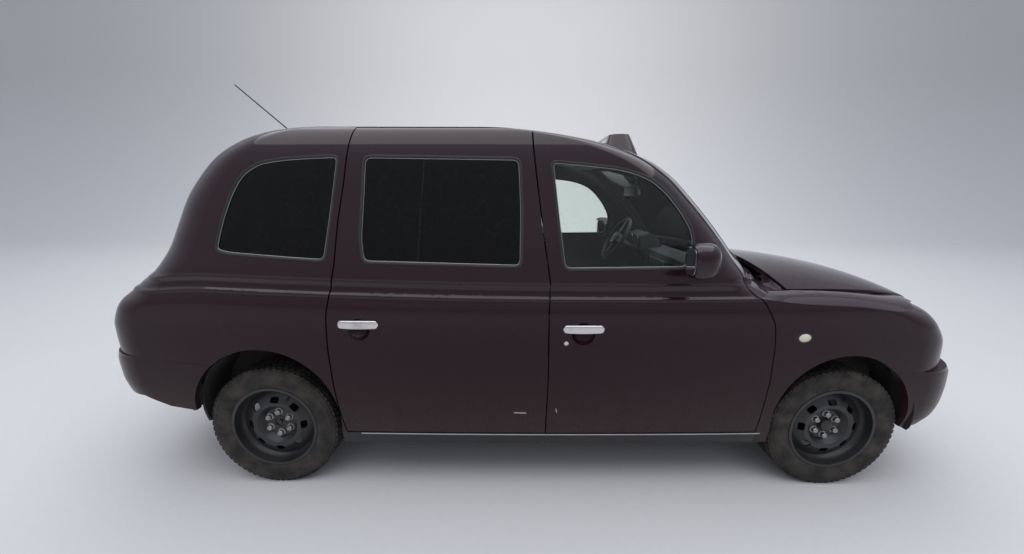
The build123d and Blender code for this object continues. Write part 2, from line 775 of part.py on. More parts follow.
def build_floor():
    """The floor with its riser and boot floor, the wheel tubs and the bulkhead."""
    half = 840
    tub = arch(rear_axle_x, rear_arch_radius + 12, rear_arch_side + 12, liner_inner_y - 12)
    tub = tub & block(rear_axle_x - 500, rear_axle_x + 500, -half, 0, floor_top, 900)
    hole = arch(rear_axle_x, rear_arch_radius, rear_arch_side, liner_inner_y)
    front_cut = arch(front_axle_x, liner_radius, liner_radius, liner_inner_y - 12)
    floor = block(riser_x + mid_x, bulkhead_x, -half, half, floor_bottom, floor_top)
    riser = block(mid_x + riser_x, mid_x + riser_x + sheet, -half, half, floor_top, boot_floor)
    boot = block(rear_axle_x - 850, mid_x + riser_x + sheet, -half, half, boot_floor - sheet, boot_floor)
    floor = (floor + riser + boot + tub + mirrored(tub)) & lower_solid(lower_wall + seat_gap)
    slot = block(rear_axle_x - axle_slot, rear_axle_x + axle_slot, -reach, reach, 0, axle_z + 2 * axle_slot)
    slot = slot - block(-reach * 2, 0, -liner_inner_y + 30, liner_inner_y - 30, 0, reach)
    rim = lower_solid(0) - lower_solid(lower_wall + door_room)
    rim = rim & block(mid_x - 1100, bulkhead_x + 100, -reach, reach, door_bottom - door_room, floor_top + 1)
    floor = floor - rim - hole - mirrored(hole) - front_cut - mirrored(front_cut) - slot
    save(floor.solids().sort_by(SortBy.VOLUME)[-1], "floor_pan")
    wall = block(bulkhead_x - sheet, bulkhead_x, -800, 800, floor_top, shoulder_z - wing_wall - 5)
    wall = wall - front_cut - mirrored(front_cut)
    save(wall.solids().sort_by(SortBy.VOLUME)[-1], "bulkhead")


def post(x_from, x_to, points, thickness):
    """An upright post whose outer face runs through points of y and z on the right-hand side."""
    outer = [(-y, z) for y, z in points]
    inner = [(-y + thickness, z) for y, z in reversed(points)]
    outline = make_face(Polyline(*[(x_from, y, z) for y, z in outer + inner], close=True))
    return extrude(outline, amount=x_to - x_from, dir=(1, 0, 0))


def build_posts():
    """The door posts inside the doors: one between the doors and one ahead of the front door."""
    middle = post(mid_x - 120, mid_x - 55, middle_post_line, 38) & upper_and_lower(upper_wall + seat_gap)
    middle = middle.solids().sort_by(SortBy.VOLUME)[-1]
    front = post(mid_x + 985, mid_x + 1045, front_post_line, 40)
    save(Compound([*both(middle).solids(), *both(front).solids()]), "door_posts")


def upper_and_lower(inset):
    """The space inside the body's skin from the floor to the roof."""
    return block(-reach * 2, reach * 2, -reach, reach, floor_top, waist_z) + upper_solid(inset)


def inside(inset):
    """The space inside the whole body's skin, set in by inset."""
    return lower_solid(inset) + waist_solid(inset) + upper_solid(inset)


def build_frame():
    """Two box rails with cross members, kicked up over the rear axle."""
    low_top = floor_bottom - seat_gap
    high_top = boot_floor - sheet - seat_gap
    kick = mid_x + riser_x - 5
    pieces = []
    for side in (-1, 1):
        y_a, y_b = side * rail_y - rail_width / 2, side * rail_y + rail_width / 2
        line = [
            (front_axle_x + 560, low_top), (kick, low_top), (kick - 130, high_top),
            (rear_axle_x - 780, high_top), (rear_axle_x - 780, high_top - rail_height),
            (kick - 165, high_top - rail_height), (kick - 35, low_top - rail_height),
            (front_axle_x + 560, low_top - rail_height),
        ]
        pieces.append(side_prism(line, y_a, y_b))
    for x, top in ((front_axle_x + 500, low_top), (mid_x + 330, low_top), (rear_axle_x - 740, high_top)):
        pieces.append(block(x - 35, x + 35, -rail_y, rail_y, top - 40, top))
    frame = joined(*pieces)
    save(frame.solids().sort_by(SortBy.VOLUME)[-1], "chassis_frame")


def build_engine():
    """Engine and gearbox as one plain closed mass on the frame's rails."""
    top = block(engine_x[0], engine_x[1], -250, 250, low_engine, 900)
    box = block(engine_x[0] - 560, engine_x[0], -130, 130, 150, floor_bottom - 45)
    ears = block(
        engine_x[0] + 200, engine_x[0] + 300, -rail_y - 20, rail_y + 20, floor_bottom, floor_bottom + 40,
    )
    neck = block(engine_x[0] - 1, engine_x[0] + 120, -130, 130, 150, low_engine + 40)
    shaft = rod((engine_x[0] - 560 - shaft_gap, 0, 185), (rear_axle_x + 205 + shaft_gap, 0, axle_z - 55), 30)
    save(joined(fillet(top.edges().filter_by(Axis.X), 40), neck, box, ears), "engine")
    save(shaft, "propeller_shaft")


def build_axles():
    """The live rear axle on its leaf springs, and the front cross member with its arms."""
    flange_y = track / 2 + rim_offset - seat_gap
    tube = cylinder_y(rear_axle_x, -flange_y, flange_y, axle_z, 42)
    casing = Pos(rear_axle_x, 0, axle_z) * Sphere(125)
    drums = []
    for side in (-1, 1):
        drums.append(cylinder_y(rear_axle_x, side * (flange_y - 70), side * (flange_y - 5), axle_z, 120))
    springs = []
    for side in (-1, 1):
        y_a, y_b = side * (rail_y + 100) - 30, side * (rail_y + 100) + 30
        spring = side_prism(
            [
                (rear_axle_x - 560, 372), (rear_axle_x, 388), (rear_axle_x + 420, 340),
                (rear_axle_x + 420, 318), (rear_axle_x, 360), (rear_axle_x - 560, 350),
            ],
            y_a, y_b,
        )
        springs.append(spring)
        beside_rail = side * (rail_y + rail_width / 2 + seat_gap)
        shackle_y = (beside_rail, side * (rail_y + 130))
        springs.append(block(rear_axle_x + 385, rear_axle_x + 420, min(shackle_y), max(shackle_y), 310, 345))
        shackle = block(
            rear_axle_x - 560, rear_axle_x - 520, min(shackle_y), max(shackle_y),
            350, boot_floor - sheet - seat_gap,
        )
        springs.append(shackle)
    axle = joined(tube, casing, *drums, *springs)
    nose = cylinder_x(rear_axle_x + 60, rear_axle_x + 205, 0, axle_z - 55, 50)
    save(axle + nose, "rear_axle")
    beam_top = floor_bottom - rail_height - 2 * seat_gap
    beam = block(front_axle_x - 70, front_axle_x + 70, -rail_y - 25, rail_y + 25, 130, beam_top)
    arms = []
    for side in (-1, 1):
        for step in (-arm_spread, arm_spread):
            inner_end = (front_axle_x + step, side * (rail_y + 10), 175)
            arms.append(rod(inner_end, (front_axle_x, side * king_pin_y, ball_z), arm_radius))
        arms.append(Pos(front_axle_x, side * king_pin_y, ball_z) * Sphere(ball_radius))
    save(joined(beam, *arms), "front_suspension")


def wheel_profile():
    """Half section of a steel wheel's rim band, in distance from the hub plane and radius."""
    half = rim_width / 2
    outer = [
        (-half, tyre_bore_radius + 6), (-half + 4, tyre_bore_radius + 6),
        (-half + 6, tyre_bore_radius - 4), (-half + 30, tyre_bore_radius - 10),
        (-half + 44, rim_well_radius + 4), (half - 62, rim_well_radius + 4),
        (half - 40, tyre_bore_radius - 10), (half - 6, tyre_bore_radius - 4),
        (half - 4, tyre_bore_radius + 6), (half, tyre_bore_radius + 6),
    ]
    inner = [
        (half, tyre_bore_radius - 8), (half - 38, tyre_bore_radius - 16),
        (half - 60, rim_well_radius - rim_wall), (-half + 42, rim_well_radius - rim_wall),
        (-half + 28, tyre_bore_radius - 17), (-half, tyre_bore_radius - 8),
    ]
    return outer + inner


def disc_profile():
    """Half section of the raised wheel disc, outboard of the rim's middle."""
    face = rim_offset
    outer = [
        (face + 6, 0), (face + 6, hub_radius + 8), (face + 34, 104), (face + 38, 128), (face + 22, 158),
        (face + 6, rim_well_radius - 2),
    ]
    inner = [
        (face, rim_well_radius - 2), (face + 15, 156), (face + 31, 127), (face + 27, 106),
        (face, hub_radius + 4), (face, 0),
    ]
    return outer + inner


def turned(points, x, y, z, side):
    """A ring turned about a cross-car axis; each point is a distance outboard of y and a radius."""
    outline = make_face(Polyline(*[(x, y - side * a, z + r) for a, r in points], close=True))
    return revolve(outline, axis=Axis((x, y, z), (0, 1, 0)))


def build_wheels():
    """Steel wheels with their slots and nuts, and the tyres on them."""
    for place, x in (("front", front_axle_x), ("rear", rear_axle_x)):
        y = -track / 2
        rim = turned(wheel_profile(), x, y, axle_z, 1)
        disc = turned(disc_profile(), x, y, axle_z, 1)
        slots = []
        for i in range(vent_count):
            slot = Box(vent_size[0], 120, vent_size[1])
            slot = fillet(slot.edges().filter_by(Axis.Y), 10)
            angle = 360 * i / vent_count
            spot = Pos(x, y - rim_offset - 20, axle_z) * Rot(0, angle, 0) * Pos(0, 0, vent_radius)
            slots.append(spot * slot)
        disc = disc - Compound([s.solid() for s in slots])
        disc = disc - cylinder_y(x, y - rim_offset - 60, y - rim_offset + 20, axle_z, centre_bore)
        nuts = []
        for i in range(wheel_bolts):
            angle = 360 * i / wheel_bolts
            spot = Pos(x, y - rim_offset - 13, axle_z) * Rot(0, angle, 0) * Pos(0, 0, nut_circle_radius)
            nuts.append(spot * Rot(90, 0, 0) * extrude(RegularPolygon(11, 6), amount=9, both=True))
        rim = joined(rim, disc, *nuts)
        tyre = turned(tyre_profile(), x, y, axle_z, 1)
        for name in ("right", "left"):
            save(rim if name == "right" else mirrored(rim), f"{name}_{place}_rim")
            save(tyre if name == "right" else mirrored(tyre), f"{name}_{place}_tyre")
    knuckle_y = -track / 2
    hub = cylinder_y(front_axle_x, knuckle_y - rim_offset + seat_gap, -650, axle_z, 52)
    disc = cylinder_y(front_axle_x, -700, -680, axle_z, brake_radius)
    lug_bottom = ball_z + arm_radius + 7
    upright = block(front_axle_x - 32, front_axle_x + 32, -690, -652, lug_bottom, 452)
    lug = block(front_axle_x - 22, front_axle_x + 22, -king_pin_y - 16, -652, lug_bottom, lug_bottom + 22)
    socket = cylinder_z(front_axle_x, -king_pin_y, ball_z + ball_radius + seat_gap, lug_bottom + 22, 14)
    arm = block(front_axle_x - 150, front_axle_x, -676, -654, 232, 256)
    knuckle = joined(hub, disc, upright, arm, lug, socket)
    save(knuckle, "right_knuckle")
    save(mirrored(knuckle), "left_knuckle")


def tyre_profile():
    """Half section of a tyre round the rim: distance from its middle and radius."""
    half = tyre_width / 2
    bead = rim_width / 2 - 7.5
    seat = tyre_bore_radius - 3.4
    return [
        (-bead, seat), (-half, tyre_radius - 60), (-half + tyre_shoulder, tyre_radius),
        (half - tyre_shoulder, tyre_radius), (half, tyre_radius - 60), (bead, seat),
    ]


def build_cabin():
    """Dashboard, steering wheel, partition and seats."""
    dash_line = [
        (1105, 1080), (1105, 720), (960, 700), (830, 820), (800, 960), (770, 1080), (790, 1120),
        (900, 1135), (1030, 1110),
    ]
    dash = side_prism(from_mid(dash_line), -712, 712)
    hood_line = [(735, 1120), (735, 1215), (800, 1235), (860, 1205), (900, 1120)]
    hood = side_prism(from_mid(hood_line), wheel_y - 150, wheel_y + 150)
    lean = math.radians(steer_tilt)
    ends = [
        (steer_x + along * math.sin(lean), wheel_y, steer_z - along * math.cos(lean))
        for along in (boss_height / 2 + seat_gap, 260)
    ]
    column = rod(ends[0], ends[1], 28)
    dash = (dash + hood + column) & inside(lower_wall + 16)
    shelf = block(mid_x + 860, mid_x + 1200, -900, -675, 990, 1200)
    dash = dash - shelf - mirrored(shelf)
    save(dash.solids().sort_by(SortBy.VOLUME)[-1], "dashboard")
    ring = Torus(steer_radius - 13, 13)
    boss = Cylinder(48, boss_height)
    spoke = Pos(steer_radius / 2, 0, 0) * Box(steer_radius - 20, 34, 12)
    spokes = Compound([(Rot(0, 0, angle) * spoke).solid() for angle in (0, 180, 270)])
    wheel = ring + boss + spokes.solids()
    save(Pos(steer_x, wheel_y, steer_z) * Rot(0, -steer_tilt, 0) * wheel, "steering_wheel")
    wall_x = mid_x - 165
    lower = block(wall_x - 30, wall_x, -735, 735, floor_top + seat_gap, 1000)
    frame = block(wall_x - 26, wall_x - 4, -700, 700, 1000, 1400)
    hole = block(wall_x - 40, wall_x + 20, -640, 640, 1040, 1370)
    save(lower + (frame - hole), "partition")
    back_line = [(-100, 640), (-140, 1290), (-80, 1310), (10, 1280), (60, 760), (40, 640)]
    seat_back = side_prism(from_mid(back_line), wheel_y - 245, wheel_y + 245)
    cushion_line = [(-90, 640), (460, 660), (500, 740), (470, 790), (60, 760), (-90, 700)]
    cushion = side_prism(from_mid(cushion_line), wheel_y - 250, wheel_y + 250)
    base = block(mid_x - 60, mid_x + 400, wheel_y - 210, wheel_y + 210, floor_top, 640)
    rest_line = [(-128, 1285), (-160, 1450), (-100, 1470), (-60, 1440), (-70, 1285)]
    rest = side_prism(from_mid(rest_line), wheel_y - 120, wheel_y + 120)
    save(joined(base, cushion, seat_back, rest), "driver_seat")
    bench_line = [(-1440, boot_floor), (-985, boot_floor), (-955, 740), (-990, 780), (-1440, 730)]
    bench = side_prism(from_mid(bench_line), -bench_half, bench_half)
    bench_back_line = [
        (-1570, boot_floor), (-1440, boot_floor), (-1440, 730), (-1500, 1330), (-1560, 1340), (-1610, 1300),
    ]
    back = side_prism(from_mid(bench_back_line), -bench_half, bench_half)
    front_face = wall_x - 30 - seat_gap
    folded_line = [(front_face, 480), (wall_x - 110, 480), (wall_x - 120, 960), (front_face, 960)]
    folding = []
    for side in (-1, 1):
        folding.append(side_prism(folded_line, side * 440 - 200, side * 440 + 200).solid())
    save(Compound([(bench + back).solid(), *folding]), "passenger_seats")


def build_roof_items():
    """The sign on the roof and the aerial."""
    lower = Plane((sign_x, 0, 1700)) * RectangleRounded(230, 620, 80)
    upper = Plane((sign_x - 5, 0, sign_top)) * RectangleRounded(120, 470, 55)
    pod = loft([lower, upper]) - upper_solid(-seat_gap)
    save(pod.solids().sort_by(SortBy.VOLUME)[-1], "roof_sign")
    foot = Pos(aerial_x, 0, 1772) * Cylinder(20, 70)
    whip = rod((aerial_x, 0, 1795), (aerial_tip_x, 0, aerial_tip_z), 4)
    save((foot + whip) - upper_solid(-seat_gap), "aerial")


def build_under():
    """Exhaust and fuel tank under the floor."""
    tank = block(
        rear_axle_x - 690, rear_axle_x - 230, 90, rail_y - rail_width / 2 - 5,
        240, boot_floor - sheet - seat_gap,
    )
    save(fillet(tank.edges().filter_by(Axis.Y), 30), "fuel_tank")
    silencer = Pos(mid_x - 220, -220, 215) * Rot(0, 90, 0) * Cylinder(62, 520)
    pipe = cylinder_x(engine_x[0] - 200, mid_x, -220, 215, 24)
    tail = [
        rod((mid_x - 440, -220, 215), (rear_axle_x + 330, -220, 215), 22),
        rod((rear_axle_x + 330, -220, 215), (rear_axle_x + 140, -220, 455), 22),
        rod((rear_axle_x + 140, -220, 455), (rear_axle_x - 170, -220, 455), 22),
        rod((rear_axle_x - 170, -220, 455), (rear_axle_x - 300, -220, 320), 22),
        rod((rear_axle_x - 300, -220, 320), (rear_axle_x - 890, -220, 300), 22),
    ]
    balls = [Pos(*p) * Sphere(22) for p in (
        (rear_axle_x + 330, -220, 215), (rear_axle_x + 140, -220, 455),
        (rear_axle_x - 170, -220, 455), (rear_axle_x - 300, -220, 320),
    )]
    hanger = block(mid_x - 235, mid_x - 205, -240, -200, 260, floor_bottom - seat_gap)
    save(joined(silencer, pipe, *tail, *balls, hanger), "exhaust")


def main():
    os.makedirs("parts", exist_ok=True)
    outer = lower_solid(0) + waist_solid(0) + upper_solid(0)
    inner = lower_solid(lower_wall) + waist_solid(lower_wall - 8) + upper_solid(upper_wall)
    wall = outer - inner
    build_doors(wall)
    build_front()
    build_bumpers()
    build_body(wall)
    build_floor()
    build_posts()
    build_frame()
    build_engine()
    build_axles()
    build_wheels()
    build_cabin()
    build_roof_items()
    build_under()


if __name__ == "__main__":
    main()
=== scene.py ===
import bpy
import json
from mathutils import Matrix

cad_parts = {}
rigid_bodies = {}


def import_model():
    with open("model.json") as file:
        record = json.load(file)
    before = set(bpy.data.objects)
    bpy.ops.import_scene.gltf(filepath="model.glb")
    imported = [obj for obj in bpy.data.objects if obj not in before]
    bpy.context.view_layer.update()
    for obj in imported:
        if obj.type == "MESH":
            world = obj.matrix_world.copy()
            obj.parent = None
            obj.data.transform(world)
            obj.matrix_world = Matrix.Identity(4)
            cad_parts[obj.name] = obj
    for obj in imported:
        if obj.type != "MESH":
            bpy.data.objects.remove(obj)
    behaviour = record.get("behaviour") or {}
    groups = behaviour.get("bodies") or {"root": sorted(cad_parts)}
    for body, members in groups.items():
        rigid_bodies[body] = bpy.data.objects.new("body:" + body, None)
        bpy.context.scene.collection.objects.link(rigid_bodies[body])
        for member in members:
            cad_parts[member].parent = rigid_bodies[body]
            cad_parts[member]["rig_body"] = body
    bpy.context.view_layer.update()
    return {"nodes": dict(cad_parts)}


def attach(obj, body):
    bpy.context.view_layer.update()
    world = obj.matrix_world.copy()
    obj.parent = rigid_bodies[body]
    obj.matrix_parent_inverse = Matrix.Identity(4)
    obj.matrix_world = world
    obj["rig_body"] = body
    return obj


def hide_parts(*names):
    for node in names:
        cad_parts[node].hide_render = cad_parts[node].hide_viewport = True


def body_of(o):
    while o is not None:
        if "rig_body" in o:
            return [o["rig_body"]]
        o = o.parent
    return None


bl_info = {
    "name": "Taxi cab",
    "version": (1, 0, 0),
    "blender": (4, 5, 0),
    "location": "View3D > Sidebar > Taxi cab",
    "description": "Dresses the packed taxi cab: painted panels, glass, wheels, cabin and studio",
    "category": "Object",
}

import json
import math
from collections import namedtuple

import bmesh
import bpy
import numpy as np
from mathutils import Matrix, Vector

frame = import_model()
SIDES = (("right", -1), ("left", 1))

# Driving sizes, in metres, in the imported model's frame
REAR_AXLE_X = -1.374
FRONT_AXLE_X = 1.512
MID_X = 0.069
AXLE_Z = 0.325
TRACK = 1.488
WIDEST_X = -0.150
SIDE_RADIUS = 45.0

# Body sections from the sill up. rear is measured from the rear axle, front from the front axle,
# and lean is how far the skin's normal points upwards, in degrees.
Section = namedtuple("Section", "z half_width rear front rear_corner front_corner lean")


def sections(*rows):
    return [Section(*row) for row in rows]


LOWER_ROWS = sections(
    (0.255, 0.846, -0.825, 0.640, 0.260, 0.300, 0),
    (0.400, 0.872, -0.845, 0.680, 0.270, 0.305, 0),
    (0.600, 0.886, -0.870, 0.700, 0.265, 0.300, 0),
    (0.780, 0.890, -0.895, 0.690, 0.262, 0.292, 0),
    (0.860, 0.890, -0.897, 0.650, 0.262, 0.288, 0),
    (0.930, 0.888, -0.880, 0.580, 0.264, 0.288, 0),
    (0.985, 0.884, -0.846, 0.465, 0.266, 0.290, 0),
    (1.035, 0.873, -0.785, 0.320, 0.270, 0.290, 0),
)
WAIST_ROWS = sections(
    (1.035, 0.873, -0.785, -0.150, 0.270, 0.190, 0),
    (1.080, 0.863, -0.738, -0.215, 0.270, 0.185, 0),
    (1.125, 0.857, -0.672, -0.288, 0.270, 0.180, 0),
)
UPPER_ROWS = sections(
    (1.125, 0.857, -0.672, -0.288, 0.270, 0.180, 0),
    (1.240, 0.838, -0.581, -0.393, 0.265, 0.180, 5),
    (1.360, 0.819, -0.523, -0.493, 0.255, 0.180, 8),
    (1.500, 0.797, -0.457, -0.623, 0.250, 0.180, 10),
    (1.600, 0.783, -0.384, -0.728, 0.250, 0.180, 15),
    (1.680, 0.770, -0.310, -0.853, 0.250, 0.185, 22),
    (1.740, 0.753, -0.223, -1.013, 0.250, 0.190, 32),
    (1.785, 0.730, -0.125, -1.213, 0.250, 0.200, 48),
    (1.818, 0.690, 0.028, -1.463, 0.240, 0.220, 66),
    (1.834, 0.605, 0.290, -1.800, 0.220, 0.210, 85),
)
FRONT_BUMPER_ROWS = sections(
    (0.344, 0.866, -0.900, 0.712, 0.300, 0.290, 0),
    (0.400, 0.880, -0.900, 0.752, 0.300, 0.290, 0),
    (0.477, 0.888, -0.900, 0.772, 0.300, 0.290, 0),
    (0.560, 0.890, -0.900, 0.778, 0.300, 0.290, 0),
    (0.630, 0.890, -0.900, 0.775, 0.300, 0.290, 0),
    (0.657, 0.888, -0.900, 0.760, 0.300, 0.290, 0),
)
REAR_BUMPER_ROWS = sections(
    (0.420, 0.866, -0.840, 0.700, 0.270, 0.350, 0),
    (0.500, 0.880, -0.886, 0.700, 0.270, 0.350, 0),
    (0.600, 0.889, -0.912, 0.700, 0.265, 0.350, 0),
    (0.690, 0.890, -0.916, 0.700, 0.262, 0.350, 0),
    (0.730, 0.889, -0.906, 0.700, 0.262, 0.350, 0),
)
# Plan radii of each skin's rear and front face
FACE_RADII = {
    "lower": (3.200, 2.400), "waist": (3.200, 1.400), "upper": (3.200, 1.400),
    "front_bumper": (3.200, 2.000), "rear_bumper": (3.200, 2.400),
}


def smooth_through(knots, values, at):
    """A smooth curve through the knots that never swings past them."""
    step = np.diff(knots)
    slope = np.diff(values) / step
    middle = np.zeros(len(knots))
    same = slope[:-1] * slope[1:] > 0
    weight = 3 * (step[:-1] + step[1:])
    low = 2 * step[1:] + step[:-1]
    high = step[1:] + 2 * step[:-1]
    with np.errstate(divide="ignore", invalid="ignore"):
        mean = weight / (low / slope[:-1] + high / slope[1:])
    middle[1:-1] = np.where(same, mean, 0)
    middle[0], middle[-1] = slope[0], slope[-1]
    i = np.clip(np.searchsorted(knots, at) - 1, 0, len(step) - 1)
    t = np.clip((at - knots[i]) / step[i], 0, 1)
    return (
        (1 + 2 * t) * (1 - t) ** 2 * values[i]
        + t * (1 - t) ** 2 * step[i] * middle[i]
        + t * t * (3 - 2 * t) * values[i + 1]
        + t * t * (t - 1) * step[i] * middle[i + 1]
    )


def table_at(knots, columns, at, smooth):
    """A table's columns at places along it, on smooth curves or on straight lines between its rows."""
    if smooth:
        return [smooth_through(knots, column, at) for column in columns]
    return [np.interp(at, knots, column) for column in columns]


def meet(centre_a, radius_a, centre_b, radius_b, forward):
    """Where two circles meet, on the side that lies further to the right and forward or back."""
    delta = centre_b - centre_a
    span = np.hypot(delta[:, 0], delta[:, 1])
    along = (radius_a**2 - radius_b**2 + span**2) / (2 * span)
    across = np.sqrt(np.maximum(radius_a**2 - along**2, 0))
    unit = delta / span[:, None]
    foot = centre_a + along[:, None] * unit
    turned = np.stack([-unit[:, 1], unit[:, 0]], 1)
    first = foot + across[:, None] * turned
    second = foot - across[:, None] * turned
    pick = (first[:, 0] - second[:, 0]) * forward + second[:, 1] - first[:, 1] > 0
    return np.where(pick[:, None], first, second)


class Skin:
    """One stretch of the body's surface, from its table of sections, set in by a distance."""

    def __init__(self, rows, radii, inset=0.0, smooth=True, crease=False):
        z, half_width, rear, front, rear_corner, front_corner, lean = np.array(rows, float).T
        lean = np.radians(lean)
        flat = inset * np.cos(lean)
        self.z = z - inset * np.sin(lean)
        self.columns = [
            half_width - flat, rear + flat + REAR_AXLE_X, front - flat + FRONT_AXLE_X,
            rear_corner - flat, front_corner - flat, flat,
        ]
        self.radii = radii
        self.smooth = smooth
        self.crease = crease

    def outside(self, points):
        """How far each point lies outside the skin, in plan."""
        x, y, z = points[:, 0], -np.abs(points[:, 1]), points[:, 2]
        if self.crease:
            z = z - belt_shift(x) * belt_share(z)
        columns = table_at(self.z, self.columns, z, self.smooth)
        half, rear, front, rear_corner, front_corner, flat = columns
        plan = np.stack([x, y], 1)
        side = np.stack([np.full_like(x, WIDEST_X), SIDE_RADIUS - flat - half], 1)
        side_radius = SIDE_RADIUS - flat
        found = np.hypot(*(plan - side).T) - side_radius
        for edge, corner, radius, way in (
            (front, front_corner, self.radii[1] - flat, 1), (rear, rear_corner, self.radii[0] - flat, -1),
        ):
            face = np.stack([edge - way * radius, np.zeros_like(x)], 1)
            beyond = way * (x - face[:, 0]) > 0
            found = np.maximum(found, np.where(beyond, np.hypot(*(plan - face).T) - radius, -9))
            centre = meet(side, side_radius - corner, face, radius - corner, way)
            from_side = centre - side
            from_face = centre - face
            toward = plan - centre
            past_side = way * (from_side[:, 0] * toward[:, 1] - from_side[:, 1] * toward[:, 0]) > 0
            past_face = way * (toward[:, 0] * from_face[:, 1] - toward[:, 1] * from_face[:, 0]) > 0
            found = np.where(past_side & past_face, np.hypot(*toward.T) - corner, found)
        if self.crease:
            found = found - crease_relief(z) * np.where(x < FRONT_AXLE_X - 0.45, 1, 0)
        return found

    def slope(self, points, step=0.0006):
        """The gradient of outside()."""
        here = self.outside(points)
        parts = []
        for i in range(3):
            moved = points.copy()
            moved[:, i] += step
            parts.append((self.outside(moved) - here) / step)
        return here, np.stack(parts, 1)

    def settle(self, points):
        """The points moved along the normal onto the skin, and the normals there."""
        for _ in range(4):
            here, slope = self.slope(points)
            size = np.maximum((slope**2).sum(1), 0.2)
            points = points - (np.clip(here, -0.02, 0.02) / size)[:, None] * slope
        slope = self.slope(points)[1]
        return points, slope / np.linalg.norm(slope, axis=1)[:, None]


def belt_shift(x):
    """How far the two waist creases lie above their section heights, along the cab's side."""
    side = np.clip((x + 1.98) / 0.42, 0, 1)
    return (-0.022 + 0.043 * ((x - MID_X - 0.380) / 2.143) ** 2) * side * side * (3 - 2 * side)


def belt_share(z):
    """The share of that shift at a height: all of it between the creases."""
    rise = np.clip((z - 0.90) / 0.14, 0, 1)
    fall = np.clip((1.27 - z) / 0.13, 0, 1)
    return rise * rise * (3 - 2 * rise) * fall * fall * (3 - 2 * fall)


def crease_relief(z):
    """The shallow cove between the two waist creases."""
    return smooth_through(
        np.array([0.99, 1.035, 1.050, 1.064, 1.090, 1.114, 1.128, 1.16]),
        np.array([0.0, 0.0015, 0.0046, -0.0045, -0.0035, 0.0034, 0.0, 0.0]),
        np.clip(z, 0.99, 1.16),
    )


# Bonnet stations: x from the front axle, half width, height of its edge and of its middle
BonnetRow = namedtuple("BonnetRow", "x half_width edge crown")
BONNET_ROWS = [
    BonnetRow(-0.250, 0.690, 1.040, 1.150),
    BonnetRow(0.000, 0.662, 1.034, 1.128),
    BonnetRow(0.250, 0.615, 1.018, 1.090),
    BonnetRow(0.450, 0.560, 0.985, 1.043),
    BonnetRow(0.555, 0.510, 0.945, 1.000),
    BonnetRow(0.618, 0.465, 0.890, 0.945),
    BonnetRow(0.652, 0.430, 0.815, 0.875),
]


class Crown:
    """A crowned top, from its table of stations along the cab."""

    def __init__(self, smooth=True):
        x, *self.columns = np.array(self.rows).T
        self.x = x + self.x_from
        self.smooth = smooth

    slope = Skin.slope
    settle = Skin.settle


class Bonnet(Crown):
    """The bonnet's crowned top."""

    rows, x_from = BONNET_ROWS, FRONT_AXLE_X

    def outside(self, points):
        half, edge, crown = table_at(self.x, self.columns, points[:, 0], self.smooth)
        rise = crown - edge
        radius = (half**2 + rise**2) / (2 * rise)
        return points[:, 2] - (crown - radius + np.sqrt(np.maximum(radius**2 - points[:, 1] ** 2, 1e-6)))


def skins_at(inset=0.0):
    """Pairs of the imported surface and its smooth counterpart, with the heights they cover."""
    found = []
    for name, rows, low, high in (
        ("lower", LOWER_ROWS, 0.2, 1.0351), ("waist", WAIST_ROWS, 1.0349, 1.1251),
        ("upper", UPPER_ROWS, 1.1249, 1.90),
    ):
        found.append((
            Skin(rows, FACE_RADII[name], inset, smooth=False),
            Skin(merged_rows(rows), FACE_RADII[name], inset, smooth=True, crease=inset == 0),
            low - inset, high,
        ))
    return found


def merged_rows(rows):
    """A table with the neighbouring table's side columns joined on, so that curves run through."""
    whole = LOWER_ROWS[:-1] + WAIST_ROWS[:-1] + UPPER_ROWS
    first, last = rows[0], rows[-1]
    joined = []
    for row in whole:
        if row.z < first.z:
            row = row._replace(front=first.front, front_corner=first.front_corner)
        elif row.z > last.z:
            row = row._replace(front=last.front, front_corner=last.front_corner)
        else:
            row = next(r for r in rows if r.z == row.z)
        joined.append(row)
    return joined


# Wing top stations: x from the middle of the wheelbase, heights outside, at the crown and inside
WingRow = namedtuple("WingRow", "x outer crown inner")
WING_ROWS = [
    WingRow(0.900, 1.045, 1.048, 1.048),
    WingRow(0.960, 1.030, 1.038, 1.038),
    WingRow(1.080, 0.995, 1.037, 1.036),
    WingRow(1.193, 0.972, 1.034, 1.033),
    WingRow(1.443, 0.948, 1.022, 1.025),
    WingRow(1.693, 0.912, 0.986, 1.003),
    WingRow(1.820, 0.885, 0.956, 0.985),
    WingRow(1.893, 0.850, 0.922, 0.962),
    WingRow(1.960, 0.795, 0.876, 0.935),
    WingRow(2.010, 0.730, 0.828, 0.905),
    WingRow(2.110, 0.620, 0.734, 0.825),
]
# Distances from the middle of the cab that those three heights belong to
WING_Y = (0.905, 0.785, 0.670)


class WingTop(Crown):
    """The crowned top of the front wings."""

    rows, x_from = WING_ROWS, MID_X

    def outside(self, points):
        x, y, z = points[:, 0], np.abs(points[:, 1]), points[:, 2]
        (ya, yb, yc), (za, zb, zc) = WING_Y, table_at(self.x, self.columns, x, self.smooth)
        turn = 2 * (ya * (zb - zc) + yb * (zc - za) + yc * (za - zb))
        turn = np.where(np.abs(turn) < 1e-6, 1e-6, turn)
        sa, sb, sc = ya**2 + za**2, yb**2 + zb**2, yc**2 + zc**2
        yo = (sa * (zb - zc) + sb * (zc - za) + sc * (za - zb)) / turn
        zo = (sa * (yc - yb) + sb * (ya - yc) + sc * (yb - ya)) / turn
        radius = np.hypot(ya - yo, za - zo)
        return z - (zo + np.sqrt(np.maximum(radius**2 - (y - yo) ** 2, 1e-6)))

    def height(self, x, y):
        """The height of the crowned top at places in plan."""
        return -self.outside(np.stack([x, y, np.zeros_like(x)], 1))


